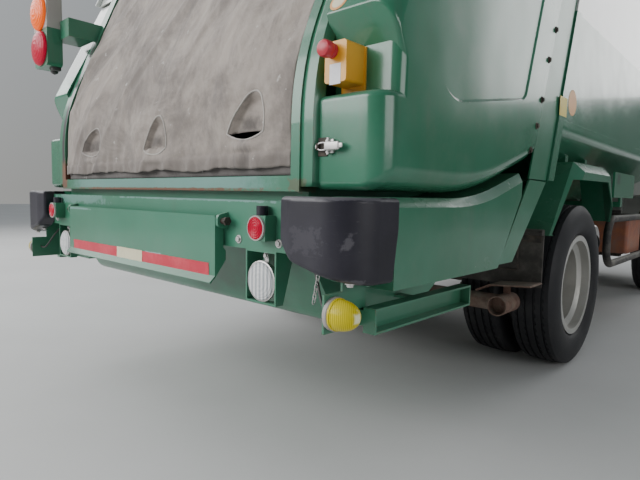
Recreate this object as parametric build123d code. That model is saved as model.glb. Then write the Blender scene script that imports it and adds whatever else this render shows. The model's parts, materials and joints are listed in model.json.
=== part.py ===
from build123d import *
from math import atan, cos, degrees, radians, sin, tan
import os

os.makedirs("parts", exist_ok=True)

# Rear-loading garbage truck, in millimetres. X is the truck's right, Y is forward, Z is up.
# The origin is on the ground under the middle of the truck.

# Whole vehicle
half_length = 2860
half_width = 985
tail_y = -half_length
rear_axle_y = tail_y + 1810
front_axle_y = half_length - 1110
side_box_width = 233
reach = 2 * half_width
tyre_radius = 386
tyre_width = 205
tyre_shoulder = 26
rim_seat_radius = 222
rim_flange_radius = 239
rim_inner_width = 152
rim_thickness = 8
disc_offset = 120
disc_thickness = 10
rear_wheel_x = half_width - 245
front_wheel_x = half_width - 173
fit = 0.05
seat_gap = 0.3

# Chassis
frame_half_width = half_width - 605
frame_bottom = 510
frame_top = 700
frame_flange = 65
frame_thickness = 8
frame_rear = tail_y + 1070
frame_front = half_length - 320
spring_x = (frame_half_width + 12, frame_half_width + 78)
spring_thickness = 40
spring_span = 1120
axle_tube_radius = 55
spindle_radius = 40
kingpin_x = front_wheel_x - 132
kingpin_radius = 18

tow_eye = (frame_front - 75, frame_bottom - 55)
tow_eye_radius = 16.5

# Load body
wall = 20
floor_z = 800
floor_half_width = half_width - 485
side_foot_z = 1060
side_roll_radius = 45
roof_z = 2300
roof_radius = 60
cab_rear_y = half_length - 1665
body_front_y = cab_rear_y - 115
seam_foot_y = tail_y + 1182
seam_foot_z = 865
seam_lean = 18.4
seam_gap = 6
post_width = 62
post_proud = 7
member_y = (frame_rear, rear_axle_y - 280, rear_axle_y + 350, rear_axle_y + 1050, body_front_y - 380,
            body_front_y + 70, frame_front - 70)

# Tailgate
hinge_z = 2350
hinge_x = half_width - 425
hinge_pin_radius = 20
hopper_half_width = half_width - side_box_width
hopper_plate = 12
hopper_bottom = 425
hopper_rear_y = tail_y + 125
pillar_rear_y = tail_y + 90
pillar_foot_z = 800
pillar_bend_z = 1110
rear_lean = 23.2
pillar_width = 31
pillar_depth = 60
strip_width = 172
lip_z = (802, 840)
curtain_half_width = hopper_half_width - 40
curtain_z = (858, 1878)
curtain_thickness = 12
beam_z = (645, 775)
beam_rear_y = tail_y + 54
beam_half_width = hopper_half_width + 12
cover_inner_x = hopper_half_width + 44
cover_outer_x = half_width + 3
cover_rear_y = tail_y + 110
cover_bottom = 805
cover_top = 1720
cover_corner = 58
cover_wall = 8
skirt_z = (570, 790)
bumper_rear_y = tail_y
bumper_side_x = half_width + 15
table_half_width = beam_half_width - 266
table_pivot = (tail_y + 34, 716)
table_plate = 6

# Lift cylinders
cylinder_middle_x = half_width - 130
barrel_foot = (seam_foot_y - 22, 1106)
rod_eye = (seam_foot_y - 47, roof_z - 110)
barrel_radius = 38
rod_radius = 20
cylinder_pin_radius = 15
lug_gap = 24
lug_plate = 12
pocket_x = (cylinder_middle_x - 55, cylinder_middle_x + 55)

# Cab
cab_half_width = half_width + 13
cab_floor_z = 850
cab_floor = 30
cab_skirt_z = 620
cab_roof_z = 2160
cab_panel = 42
cab_corner = 190
cab_belt_z = 1290
arch_radius = 460
cab_pivot = (half_length - 210, 600)
door_y = (half_length - 1360, half_length - 340)
door_bottom = 890
door_top = 2065
door_gap = 6
plate_hole_spacing = 210
plate_hole_radius = 3.5
plate_hole_z = 580
glass_thickness = 6
steering_wheel_x = cab_half_width - 528
door_inner_x = cab_half_width - 298
hinge_line = (cab_half_width + 13, door_y[1] - 3)
hinge_heights = (1000, 1215)
hinge_height = 40
hinge_pin = 6
hinge_barrel = 11


def block(x, y, z):
    """Box between two limits on each axis."""
    size = Box(x[1] - x[0], y[1] - y[0], z[1] - z[0], align=(Align.MIN, Align.MIN, Align.MIN))
    return Pos(x[0], y[0], z[0]) * size


def outline(points):
    """Closed face through corners (u, v) or (u, v, radius)."""
    places = [point[:2] for point in points]
    radii = [point[2] if len(point) > 2 else 0 for point in points]
    return make_face(FilletPolyline(*places, radius=radii, close=True))


def across(face, x):
    """Extrude a face drawn in Y and Z from x[0] to x[1]."""
    return extrude(Plane.YZ.offset(x[0]) * face, amount=x[1] - x[0])


def along(face, y):
    """Extrude a face drawn in X and Z from y[0] to y[1]."""
    return extrude(Plane.XZ.offset(-y[1]) * face, amount=y[1] - y[0])


def upward(face, z):
    """Extrude a face drawn in X and Y from z[0] to z[1]."""
    return extrude(Plane.XY.offset(z[0]) * face, amount=z[1] - z[0])


def rod_x(radius, x, y, z):
    """Round bar along X between two limits."""
    return across(Pos(y, z) * Circle(radius), x)


def rod_y(radius, x, y, z):
    """Round bar along Y between two limits."""
    return along(Pos(x, z) * Circle(radius), y)


def rod_z(radius, x, y, z):
    """Round bar along Z between two limits."""
    return upward(Pos(x, y) * Circle(radius), z)


def turned(points, y, z):
    """Revolve a section of corners (x, radius) about the line along X at (y, z)."""
    face = Plane.XY * outline(points)
    return Pos(0, y, z) * revolve(face, Axis.X)


def pair(shape):
    """The right-hand shape and its mirror image on the left."""
    return [shape, mirror(shape, about=Plane.YZ)]


def save(name, *shapes):
    """Write the solids of one node."""
    solids = []
    for shape in shapes:
        solids.extend(shape.solids())
    export_step(Compound(solids), f"parts/{name}.step")


def seam_y(z):
    """Y of the joint plane between load body and tailgate at height z."""
    return seam_foot_y + (z - seam_foot_z) * tan(radians(seam_lean))


def pillar_y(z):
    """Y of the pillar's rear edge at height z above its bend."""
    return pillar_rear_y + (z - pillar_bend_z) * tan(radians(rear_lean))


hinge_y = seam_y(hinge_z)


def slab(front, rear, z):
    """Face in Y and Z between two lines parallel to the seam, offset in Y, over a height range."""
    low, high = z
    return outline(
        [
            (seam_y(low) + rear, low),
            (seam_y(low) + front, low),
            (seam_y(high) + front, high),
            (seam_y(high) + rear, high),
        ]
    )


# Chassis


def frame_rail():
    """Channel facing inward with its tow eye, on the right."""
    web = frame_half_width - frame_thickness
    lip = frame_half_width - frame_flange
    channel = outline(
        [
            (frame_half_width, frame_bottom),
            (frame_half_width, frame_top),
            (lip, frame_top),
            (lip, frame_top - frame_thickness),
            (web, frame_top - frame_thickness),
            (web, frame_bottom + frame_thickness),
            (lip, frame_bottom + frame_thickness),
            (lip, frame_bottom),
        ]
    )
    rail = along(channel, (frame_rear, frame_front))
    eye_x = (frame_half_width - 45, frame_half_width - 20)
    y, z = tow_eye
    eye = outline([(y - 60, frame_bottom), (y - 40, z - 40, 30), (y + 40, z - 40, 30), (y + 60, frame_bottom)])
    rail += across(eye, eye_x) - rod_x(tow_eye_radius, (eye_x[0] - 5, eye_x[1] + 5), y, z)
    return rail


def crossmembers():
    """Box members that join the two channels, and the posts under the cab's rear edge."""
    web = frame_half_width - frame_thickness
    post_y = (cab_rear_y + 30, cab_rear_y + 90)
    post = block((frame_half_width - frame_flange, frame_half_width), post_y, (frame_top, cab_floor_z - seat_gap))
    depth = 70
    height = (frame_bottom + 60, frame_top - frame_thickness)
    return [block((-web, web), (y, y + depth), height) for y in member_y] + pair(post)


def leaf_spring(centre_y, seat_z, eye_z):
    """Leaf spring pack with its two hangers, on the right side."""
    half = spring_span / 2
    top = ThreePointArc((centre_y - half, eye_z), (centre_y, seat_z + spring_thickness), (centre_y + half, eye_z))
    low = eye_z - spring_thickness
    bottom = ThreePointArc((centre_y + half, low), (centre_y, seat_z), (centre_y - half, low))
    ends = [Line(top @ 1, bottom @ 0), Line(bottom @ 1, top @ 0)]
    spring = across(make_face([top, ends[0], bottom, ends[1]]), spring_x)
    hanger_width = 70
    for end in (-half, half - hanger_width):
        y = (centre_y + end, centre_y + end + hanger_width)
        spring += block((frame_half_width, spring_x[1]), y, (eye_z - spring_thickness, frame_bottom + 90))
    return spring


engine_half_width = frame_half_width - 150
engine_rear_y = front_axle_y - 370
gearbox_rear_y = engine_rear_y - 78


def rear_axle():
    """Axle casing with its banjo, spindles and propeller shaft."""
    tube_end = rear_wheel_x - 224
    spindle_end = rear_wheel_x + 36
    banjo = 150
    casing = turned(
        [
            (-spindle_end, 0),
            (-spindle_end, spindle_radius),
            (-tube_end, spindle_radius),
            (-tube_end, axle_tube_radius),
            (-170, axle_tube_radius),
            (-90, banjo, 60),
            (90, banjo, 60),
            (170, axle_tube_radius),
            (tube_end, axle_tube_radius),
            (tube_end, spindle_radius),
            (spindle_end, spindle_radius),
            (spindle_end, 0),
        ],
        rear_axle_y,
        tyre_radius,
    )
    shaft = rod_y(42, 0, (rear_axle_y + 100, gearbox_rear_y), tyre_radius + 84)
    nose = rod_y(70, 0, (rear_axle_y + 60, rear_axle_y + 230), tyre_radius + 60)
    seats = [
        block((spring_x[0], spring_x[1]), (rear_axle_y - 60, rear_axle_y + 60), (tyre_radius, 446)),
        block((-spring_x[1], -spring_x[0]), (rear_axle_y - 60, rear_axle_y + 60), (tyre_radius, 446)),
    ]
    return casing + nose + shaft + seats[0] + seats[1]


def front_axle():
    """Dropped I-beam with its spring seats and kingpin eyes."""
    beam_z = (tyre_radius - 110, tyre_radius - 40)
    eye_radius = 34
    eye_z = (tyre_radius - 55, tyre_radius + 55)
    beam = block((120 - kingpin_x, kingpin_x - 120), (front_axle_y - 40, front_axle_y + 40), beam_z)
    for side in (-1, 1):
        arm = outline([(side * (kingpin_x - 140), beam_z[0]), (side * (kingpin_x - 120), beam_z[1]),
                       (side * (kingpin_x - 44), eye_z[1]), (side * kingpin_x, eye_z[1]),
                       (side * kingpin_x, eye_z[0]), (side * (kingpin_x - 44), eye_z[0])])
        beam += along(arm, (front_axle_y - 28, front_axle_y + 28))
        beam += rod_z(eye_radius, side * kingpin_x, front_axle_y, eye_z)
        low, high = sorted((side * spring_x[0], side * spring_x[1]))
        beam += block((low, high), (front_axle_y - 60, front_axle_y + 60), (beam_z[0] + 10, 420))
    for side in (-1, 1):
        bore = rod_z(kingpin_radius + fit, side * kingpin_x, front_axle_y, (eye_z[0] - 5, eye_z[1] + 5))
        beam -= bore
    return beam


def engine_block():
    """Engine and gearbox as plain blocks between the frame rails."""
    engine = block((-engine_half_width, engine_half_width), (engine_rear_y, front_axle_y + 430), (430, 815))
    gearbox = block((-130, 130), (gearbox_rear_y, engine_rear_y), (430, 640))
    return engine + gearbox


tank_bottom = 410
tank_top = 668


def fuel_tank():
    """Rounded tank on the left, on two brackets from the frame."""
    rear_y = body_front_y - 1020
    inner_x = frame_half_width + 60
    tank = block((105 - half_width, -inner_x), (rear_y, rear_y + 660), (tank_bottom, tank_top))
    tank = fillet(tank.edges().filter_by(Axis.Y), 60)
    for y in (rear_y + 120, rear_y + 500):
        tank += block((-inner_x - 20, -frame_half_width), (y, y + 50), (tank_top - 110, tank_top - 10))
    return tank


def air_tank():
    """Round tank across the right side, ahead of the rear wheel."""
    y = rear_axle_y + 700
    inner_x = frame_half_width + 70
    tank = fillet(rod_x(95, (inner_x, half_width - 135), y, 560).edges(), 30)
    bracket = block((frame_half_width, inner_x + 20), (y - 25, y + 25), (530, 590))
    return tank + bracket


def battery_box():
    """Covered battery carrier on the right."""
    y = body_front_y - 750
    inner_x = frame_half_width + 50
    box = block((inner_x, half_width - 105), (y, y + 430), (tank_bottom + 20, tank_top))
    box = fillet(box.edges().filter_by(Axis.Z), 20)
    bracket = block((frame_half_width, inner_x + 10), (y + 90, y + 340), (tank_top - 110, tank_top - 10))
    return box + bracket


exhaust_radius = 36
exhaust_x = frame_half_width - 190
exhaust_z = 500
exhaust_rear_y = rear_axle_y - 510
outlet_x = half_width - 184
outlet_z = 345
outlet_radius = 42


def exhaust():
    """Pipe over the axle, across to the right and out of a tee, with its heat shield."""
    path = FilletPolyline(
        (exhaust_x, engine_rear_y, exhaust_z),
        (exhaust_x, exhaust_rear_y + 100, exhaust_z),
        (exhaust_x, exhaust_rear_y, outlet_z),
        (outlet_x, exhaust_rear_y, outlet_z),
        radius=[60, 60],
    )
    pipe = sweep(Plane(path @ 0, z_dir=path % 0) * Circle(exhaust_radius), path=path)
    muffler = rod_y(88, exhaust_x - 30, (body_front_y - 930, body_front_y - 230), exhaust_z - 60)
    outlet = rod_y(outlet_radius, outlet_x, (exhaust_rear_y - 80, exhaust_rear_y + 70), outlet_z)
    bore = rod_y(outlet_radius - 5, outlet_x, (exhaust_rear_y - 81, exhaust_rear_y - 38), outlet_z)
    hanger = block((frame_half_width - 20, frame_half_width - 8), (exhaust_rear_y - 20, exhaust_rear_y + 20), (outlet_z, frame_bottom))
    body = pipe + muffler + outlet + hanger - bore
    shield = outline([(outlet_x - 99, 402), (outlet_x - 41, 432), (outlet_x + 128, 446), (outlet_x + 134, 440),
                      (outlet_x - 39, 426), (outlet_x - 95, 396)])
    plate = along(shield, (exhaust_rear_y - 75, exhaust_rear_y + 60))
    strap = block((outlet_x - 15, outlet_x + 15), (exhaust_rear_y + 20, exhaust_rear_y + 26), (outlet_z + 30, 433))
    return body + plate + strap


def side_guard():
    """Bent tube guard between the axles, on the right."""
    tube = 21
    x = half_width - 55
    ends = (rear_axle_y + 595, front_axle_y - 620)
    heights = (425, 690)
    loop = FilletPolyline(
        (x, ends[0], heights[0]),
        (x, ends[1], heights[0]),
        (x, ends[1], heights[1]),
        (x, ends[0], heights[1]),
        radius=110,
        close=True,
    )
    start = loop @ 0
    guard = sweep(Plane(start, z_dir=loop % 0) * Circle(tube), path=loop)
    for y in (ends[0] + 395, ends[1] - 230):
        guard += block((frame_half_width, x), (y, y + 40), (heights[1] - 14, heights[1] + 8))
    return guard


fender_corners = [(rear_axle_y - 419, 642), (rear_axle_y - 150, 967), (rear_axle_y + 360, 967),
                  (rear_axle_y + 519, 680)]
fender_sheet = 5
fender_x = (half_width - 161, half_width)
fender_chamfer = 46


def rear_fender():
    """Folded sheet arch over the twin wheels, with its forward side panel, on the right."""
    y = rear_axle_y
    outer = across(outline(fender_corners), fender_x)
    edges = [edge for edge in outer.edges() if abs(edge.center().X - fender_x[1]) < 1 and edge.center().Z > 700]
    outer = chamfer(edges, fender_chamfer)
    inner_corners = [
        (fender_corners[0][0] + 7, 600),
        (fender_corners[0][0] + 7, fender_corners[0][1]),
        (fender_corners[1][0] + 3, fender_corners[1][1] - fender_sheet),
        (fender_corners[2][0] - 3, fender_corners[2][1] - fender_sheet),
        (fender_corners[3][0] - 6, fender_corners[3][1]),
        (fender_corners[3][0] - 6, 600),
    ]
    inner = across(outline(inner_corners), (fender_x[0] - 5, fender_x[1] - fender_sheet))
    edges = [edge for edge in inner.edges() if abs(edge.center().X - fender_x[1] + fender_sheet) < 1
             and edge.center().Z > 700]
    inner = chamfer(edges, fender_chamfer)
    opening = across(
        outline([(y - 404, 600), (y - 404, 649), (y - 196, 884), (y + 304, 888), (y + 490, 682), (y + 490, 600)]),
        (fender_x[1] - 60, fender_x[1] + 5),
    )
    panel_x = fender_x[1] - 10
    panel = block((panel_x, fender_x[1]), (y + 432, y + 910), (812, 948))
    panel += block((panel_x - 10, panel_x + 1), (y + 630, y + 680), (760, 860))
    panel += block((frame_half_width, panel_x + 1), (y + 630, y + 680), (760, 790))
    fender = outer - inner - opening
    hung_x = (fender_x[0] + 16, fender_x[0] + 56)
    hung = outline([(hung_x[0], fender_corners[1][1] - 2), (hung_x[1], fender_corners[1][1] - 2),
                    (hung_x[1], underside_z(hung_x[1]) - seat_gap), (hung_x[0], underside_z(hung_x[0]) - seat_gap)])
    for start in (y - 70, y + 250):
        fender += along(hung, (start, start + 40))
    return [fender, panel]


def mud_flap():
    """Rubber flap behind the twin wheels, on a bar from the frame, on the right."""
    bar_y, bar_z = rear_axle_y - 450, 655
    flap = block((half_width - 425, half_width - 60), (bar_y + 12, bar_y + 20), (420, bar_z + 10))
    bar = rod_x(14, (frame_half_width, half_width - 60), bar_y, bar_z)
    return flap + bar


def underside_z(x):
    """Height of the load body's sloping underside at x."""
    return floor_z + (x - floor_half_width) * (side_foot_z - floor_z) / (half_width - floor_half_width)


def body_section(inset):
    """Cross-section of the load body in X and Z."""
    rise = side_foot_z - floor_z
    run = half_width - floor_half_width
    slope = (rise**2 + run**2) ** 0.5
    foot = floor_half_width - inset * (slope - run) / rise
    side = side_foot_z + inset * (slope - rise) / run
    radius = side_roll_radius
    return outline(
        [
            (-foot, floor_z + inset),
            (foot, floor_z + inset),
            (half_width - inset, side, radius),
            (half_width - inset, roof_z - inset, roof_radius),
            (-half_width + inset, roof_z - inset, roof_radius),
            (-half_width + inset, side, radius),
        ]
    )


rear_limit = seam_foot_y - 200


def behind_seam():
    """Everything rearward of the joint plane."""
    return across(slab(0, -900, (floor_z - 200, roof_z + 200)), (-reach, reach))


def ring_slab():
    """Full slab in which the rear ring lies."""
    proud = half_width + post_proud
    return across(slab(post_width, 0, (seam_foot_z, roof_z + post_proud)), (-proud, proud))


def load_room():
    """Hollow of the load body."""
    return along(body_section(wall), (rear_limit - 1, body_front_y))


def body_sheets():
    """Floor trough, side sheet, roof edge and roof sheet of the load body, the middle two on the right."""
    outer = along(body_section(0), (rear_limit, body_front_y - wall))
    shell = outer - load_room() - behind_seam() - ring_slab()
    y = (rear_limit - 10, body_front_y + 10)
    side_z = (side_foot_z + 50, roof_z - roof_radius)
    roof_x = half_width - roof_radius
    top = roof_z + 10
    floor = shell & block((-reach, reach), y, (0, side_z[0]))
    side = shell & block((0, reach), y, side_z)
    edge = shell & block((roof_x, reach), y, (side_z[1], top))
    roof = shell & block((-roof_x, roof_x), y, (side_z[1], top))
    return floor, side, edge, roof


def body_front_wall():
    """Plate that closes the load body in front."""
    return along(body_section(0), (body_front_y - wall, body_front_y))


def body_ring():
    """Rear ring of the load body, with hinge ears and pins and the cylinders' lugs and pins."""
    ring = ring_slab() - load_room()
    ear_top = hinge_z + 38
    ear = outline([(hinge_y + 2, roof_z), (hinge_y - 38, hinge_z - 20, 20), (hinge_y - 38, ear_top, 30),
                   (hinge_y + 40, ear_top, 30), (hinge_y + 150, roof_z)])
    y, z = barrel_foot
    foot_z = 940
    lug = outline([(y - 34, z - 10, 15), (y, z - 32, 20), (seam_y(z - 60) + 4, z - 60), (seam_y(foot_z) + 4, foot_z),
                   (seam_y(foot_z) + 60, foot_z), (seam_y(z + 60) + 60, z + 60), (seam_y(z + 60) + 4, z + 60),
                   (y - 20, z + 30, 30)])
    reach = lug_gap + 1
    for side in (-1, 1):
        for offset in (-70, 54):
            x = side * hinge_x + offset
            ring += across(ear, (x, x + 16))
        ring += rod_x(hinge_pin_radius, (side * hinge_x - 70, side * hinge_x + 70), hinge_y, hinge_z)
        middle = side * cylinder_middle_x
        for offset in (lug_gap, -lug_gap - lug_plate):
            ring += across(lug, (middle + offset, middle + offset + lug_plate))
        ring += rod_x(cylinder_pin_radius, (middle - reach, middle + reach), y, z)
    return ring


def body_sills():
    """Sills on the frame rails and the cross bearers under the load body's floor."""
    low, high = frame_half_width - frame_flange, frame_half_width
    length = (frame_rear + 100, body_front_y)
    sills = block((low, high), length, (frame_top, floor_z)) + block((-high, -low), length, (frame_top, floor_z))
    for y in (rear_axle_y - 450, rear_axle_y + 250, rear_axle_y + 950, body_front_y - 580, body_front_y - 120):
        sills += block((-floor_half_width, floor_half_width), (y, y + 60), (frame_top + 40, floor_z))
    return sills - behind_seam()


# Tailgate

hopper_front_low = (tail_y + 730, hopper_bottom)
diagonal_top = (seam_foot_y - seam_gap, 858)


def hopper_face():
    """Side view of the tailgate: pillar, roof, seam, diagonal and trough."""
    return outline(
        [
            (seam_y(roof_z) - seam_gap, roof_z),
            (pillar_y(roof_z), roof_z, 350),
            (pillar_rear_y, pillar_bend_z, 680),
            (pillar_rear_y, pillar_foot_z),
            (hopper_rear_y, pillar_foot_z),
            (hopper_rear_y, beam_z[0]),
            (tail_y + 260, hopper_bottom, 60),
            (*hopper_front_low, 350),
            diagonal_top,
        ]
    )


def hopper_band(start, end):
    """Strip inside the tailgate outline, between two depths from its edge."""
    outer = hopper_face() if start == 0 else offset(hopper_face(), amount=-start, kind=Kind.INTERSECTION)
    return outer - offset(hopper_face(), amount=-end, kind=Kind.INTERSECTION)


def region(y, z):
    """Rectangle in Y and Z."""
    return outline([(y[0], z[0]), (y[1], z[0]), (y[1], z[1]), (y[0], z[1])])


def hopper_shell():
    """Welded hopper: side plates, trough, roof, header, pillars, front frame and hinge knuckles."""
    inside = (-hopper_half_width, hopper_half_width)
    mouth = region((tail_y - 140, tail_y + 560), (lip_z[1], curtain_z[1]))
    throat = slab(40, -60, (seam_foot_z + 5, roof_z - hopper_plate))
    skin = hopper_band(0, hopper_plate) - mouth - throat
    shell = across(skin, inside)
    header = hopper_band(0, pillar_depth) & region((tail_y - 140, tail_y + 760), (curtain_z[1], curtain_z[1] + 30))
    shell += across(header, inside)
    pillar = hopper_band(0, pillar_depth) & region((tail_y - 140, tail_y + 960), (pillar_foot_z, roof_z))
    lip = block((-hopper_half_width, hopper_half_width), (hopper_rear_y - 25, hopper_rear_y + 12), lip_z)
    shell += lip
    for side in (-1, 1):
        low, high = sorted((side * (hopper_half_width - hopper_plate), side * hopper_half_width))
        shell += across(hopper_face(), (low, high))
        low, high = sorted((side * (hopper_half_width - pillar_width), side * hopper_half_width))
        shell += across(pillar, (low, high))
        front = slab(-seam_gap, -seam_gap - strip_width, (seam_foot_z, roof_z))
        low, high = sorted((side * (hopper_half_width - 1), side * half_width))
        box = across(front, (low, high))
        low_in, high_in = sorted((side * (hopper_half_width - 2), side * (half_width - 6)))
        hollow = across(slab(-seam_gap - 5, -seam_gap - strip_width - 1, (seam_foot_z - 10, roof_z - 5)),
                        (low_in, high_in))
        low_in_pocket, high_in_pocket = sorted((side * pocket_x[0], side * pocket_x[1]))
        pocket = across(slab(0, -seam_gap - 20, (barrel_foot[1] - 80, rod_eye[1] + 50)),
                        (low_in_pocket, high_in_pocket))
        shell += box - hollow - pocket
        stub = sorted((side * (hopper_half_width - 1), side * (cylinder_middle_x - 18)))
        shell += rod_x(cylinder_pin_radius, stub, *rod_eye)
        brace = outline([diagonal_top, (tail_y + 889, 579), (tail_y + 776, 579), (tail_y + 1010, 862)])
        brace_hollow = outline([(tail_y + 1168, 852), (tail_y + 884, 570), (tail_y + 768, 570), (tail_y + 1002, 868)])
        shell += across(brace, (low, high)) - across(brace_hollow, (low_in, high_in))
        knuckle_x = (side * hinge_x - 52, side * hinge_x + 52)
        shell += rod_x(36, knuckle_x, hinge_y, hinge_z)
        arm = outline([(hinge_y - 30, hinge_z + 10), (hinge_y - 260, roof_z - 4), (hinge_y - 30, roof_z - 4)])
        shell += across(arm, knuckle_x)
        shell -= rod_x(hinge_pin_radius + fit, (knuckle_x[0] - 5, knuckle_x[1] + 5), hinge_y, hinge_z)
    return shell


def tailgate_side():
    """Plain outer sheet above the moulded cover, on the right."""
    skin_z = (cover_top + 4, roof_z)
    front = slab(-seam_gap - strip_width, tail_y + 1460, (pillar_foot_z, roof_z + 50))
    face = hopper_face() & front & region((tail_y - 140, tail_y + 1860), skin_z)
    sheet = across(face, (half_width - 6, half_width))
    back = hopper_band(20, 26) & front & region((tail_y - 140, tail_y + 1860), skin_z)
    roof = hopper_band(0, 6) & front & region((tail_y - 140, tail_y + 1860), (2000, roof_z + 1))
    sheet += across(back, (hopper_half_width, half_width)) + across(roof, (hopper_half_width, half_width))
    return sheet


def cover_face(inset):
    """Side view of the moulded cover."""
    front_top = seam_y(cover_top) - seam_gap - strip_width
    front_low = seam_y(920) - seam_gap - strip_width
    face = outline(
        [
            (cover_rear_y, cover_bottom, 20),
            (cover_rear_y, pillar_bend_z + 80, 300),
            (cover_rear_y + 264, cover_top, 60),
            (front_top, cover_top),
            (front_low, 930),
            (tail_y + 603, cover_bottom, 1150),
        ]
    )
    return offset(face, amount=-inset, kind=Kind.INTERSECTION) if inset else face


def cover_block(inset, x, corner):
    """Cover's solid form with its rear outer corner rounded."""
    solid = across(cover_face(inset), x)
    edges = [edge for edge in solid.edges()
             if abs(edge.center().X - x[1]) < 1 and edge.center().Y < tail_y + 510
             and cover_bottom + 40 < edge.center().Z < cover_top - 40]
    return fillet(edges, corner)


notch_y = tail_y + 172
notch_z = (1034, 1148)
notch_mouth = (tail_y + 133, 1228)
notch_wall = 16
notch_side_edge = 32
notch_top_edge = 12
notch_ledge_edge = 16


def notch(grow):
    """Recess for the stop button, with a level ledge and a ceiling that slopes down inward."""
    rear = tail_y - 40
    low, high = notch_z
    mouth_y, mouth_z = notch_mouth
    rear_z = mouth_z + (mouth_y - rear) * (mouth_z - high) / (notch_y - mouth_y)
    face = outline([(rear, low - 8), (notch_y, low), (notch_y, high), (rear, rear_z)])
    face = offset(face, amount=grow, kind=Kind.INTERSECTION) if grow else face
    return across(face, (hopper_half_width - 52, reach))


def rounded_notch(solid):
    """Round the recess's outer edges: first the upright one, then the ceiling's and the ledge's."""
    low, high = notch_z
    upright = [edge for edge in solid.edges()
               if abs(edge.center().Y - notch_y) < 1 and edge.center().X > cover_outer_x - 5
               and low + 6 < edge.center().Z < high - 8]
    solid = fillet(upright, notch_side_edge)

    def mouth_edges(z):
        """Edges of the recess's mouth between two heights."""
        return [edge for edge in solid.edges()
                if z[0] < edge.center().Z < z[1] and edge.center().Y < notch_y + 8
                and abs(edge.center().Y - notch_y) > 1 and edge.center().X > cover_inner_x + 5
                and abs(edge.center().X - cover_outer_x + cover_corner) > 1]

    solid = fillet(mouth_edges((1100, notch_mouth[1] + 4)), notch_top_edge)
    return fillet(mouth_edges((low - 34, low + 6)), notch_ledge_edge)


def side_cover():
    """Moulded cover with the stop button's recess and a sunk panel, on the right."""
    outer = rounded_notch(cover_block(0, (cover_inner_x, cover_outer_x), cover_corner) - notch(0))
    inner = cover_block(cover_wall, (cover_inner_x - 5, cover_outer_x - cover_wall), cover_corner - cover_wall)
    front = across(slab(-seam_gap - strip_width + 5, -seam_gap - strip_width - 30, (900, cover_top - 12)),
                   (cover_inner_x - 5, cover_outer_x - cover_wall))
    y = tail_y
    panel = outline([(y + 334, 1660, 60), (y + 334, 1020, 130), (y + 935, 1120, 60), (y + 1115, 1660, 60)])
    sunk = across(panel, (cover_outer_x - 5, cover_outer_x + 5))
    edges = [edge for edge in sunk.edges() if abs(edge.center().X - cover_outer_x + 5) < 1]
    sunk = chamfer(edges, 9, 14)
    pocket = block((cover_inner_x - 5, pocket_x[1]), (y + 1000, y + 1460), (cover_top - 30, cover_top + 5))
    return outer - (inner - notch(notch_wall)) - front - pocket - sunk


def skirt_face(inset):
    """Side view of the lower side skirt."""
    face = outline(
        [
            (tail_y + 170, skirt_z[0]),
            (tail_y + 170, skirt_z[1]),
            (tail_y + 610, skirt_z[1], 1150),
            (tail_y + 955, 882),
            (tail_y + 955, 835),
            (tail_y + 760, skirt_z[0], 10),
        ]
    )
    return offset(face, amount=-inset, kind=Kind.INTERSECTION) if inset else face


def side_skirt():
    """Lower side skirt with a bevelled top edge, on the right."""
    outer = across(skirt_face(0), (cover_inner_x, cover_outer_x + 2))
    edges = [edge for edge in outer.edges()
             if abs(edge.center().X - cover_outer_x - 2) < 1 and edge.center().Z > skirt_z[1] - 1]
    outer = chamfer(edges, 24)
    inner = across(skirt_face(6), (cover_inner_x - 5, cover_outer_x - 4))
    edges = [edge for edge in inner.edges()
             if abs(edge.center().X - cover_outer_x + 4) < 1 and edge.center().Z > skirt_z[1] - 12]
    inner = chamfer(edges, 20)
    below = block((cover_inner_x - 5, cover_outer_x - 4), (tail_y + 200, tail_y + 710), (skirt_z[0] - 5, skirt_z[0] + 10))
    tab_x = (hopper_half_width + seat_gap, cover_outer_x - 3)
    tabs = [block(tab_x, (y, y + 40), (740, 746)) for y in (tail_y + 360, tail_y + 660)]
    return outer - inner - below + tabs[0] + tabs[1]


def rear_beam():
    """Box beam across the rear, with the table's hinge ears and pins."""
    beam = block((-beam_half_width, beam_half_width), (beam_rear_y, hopper_rear_y), beam_z)
    inside = beam_half_width - 6
    beam -= block((-inside, inside), (beam_rear_y + 6, hopper_rear_y - 6), (beam_z[0] + 6, beam_z[1] - 6))
    for side in (-1, 1):
        low, high = sorted((side * (table_half_width + 4), side * (table_half_width + 14)))
        ear = outline([(beam_rear_y, table_pivot[1] - 24), (table_pivot[0] - 16, table_pivot[1] - 16, 12),
                       (table_pivot[0] - 16, table_pivot[1] + 16, 12), (beam_rear_y, table_pivot[1] + 24)])
        beam += across(ear, (low, high))
        low, high = sorted((side * (table_half_width - 22), side * (table_half_width + 12)))
        beam += rod_x(8, (low, high), *table_pivot)
    return beam


def folding_table():
    """Hinged rear table: plate with a bent lip and lobed side plates."""
    plate = table_plate
    rear = tail_y + 19
    profile = outline([(rear, 730), (rear + plate, 730), (rear + plate, 566), (rear - 14, 541),
                       (rear - 18, 545), (rear, 562)])
    table = across(profile, (-table_half_width, table_half_width))
    cheek = outline(
        [
            (rear + plate - 1, table_pivot[1] + 14),
            (table_pivot[0] + 14, table_pivot[1] + 14, 12),
            (table_pivot[0] + 14, 640),
            (tail_y + 56, 630),
            (tail_y + 56, 604, 10),
            (rear + plate - 8, 552),
            (rear + plate - 1, 566),
        ]
    )
    for side in (-1, 1):
        low, high = sorted((side * (table_half_width - 6), side * table_half_width))
        table += across(cheek, (low, high))
        table -= rod_x(8 + fit, (low - 2, high + 2), *table_pivot)
    return table


bumper_z = (560, 800)
bumper_front_y = tail_y + 168
bumper_edge = 12


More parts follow.
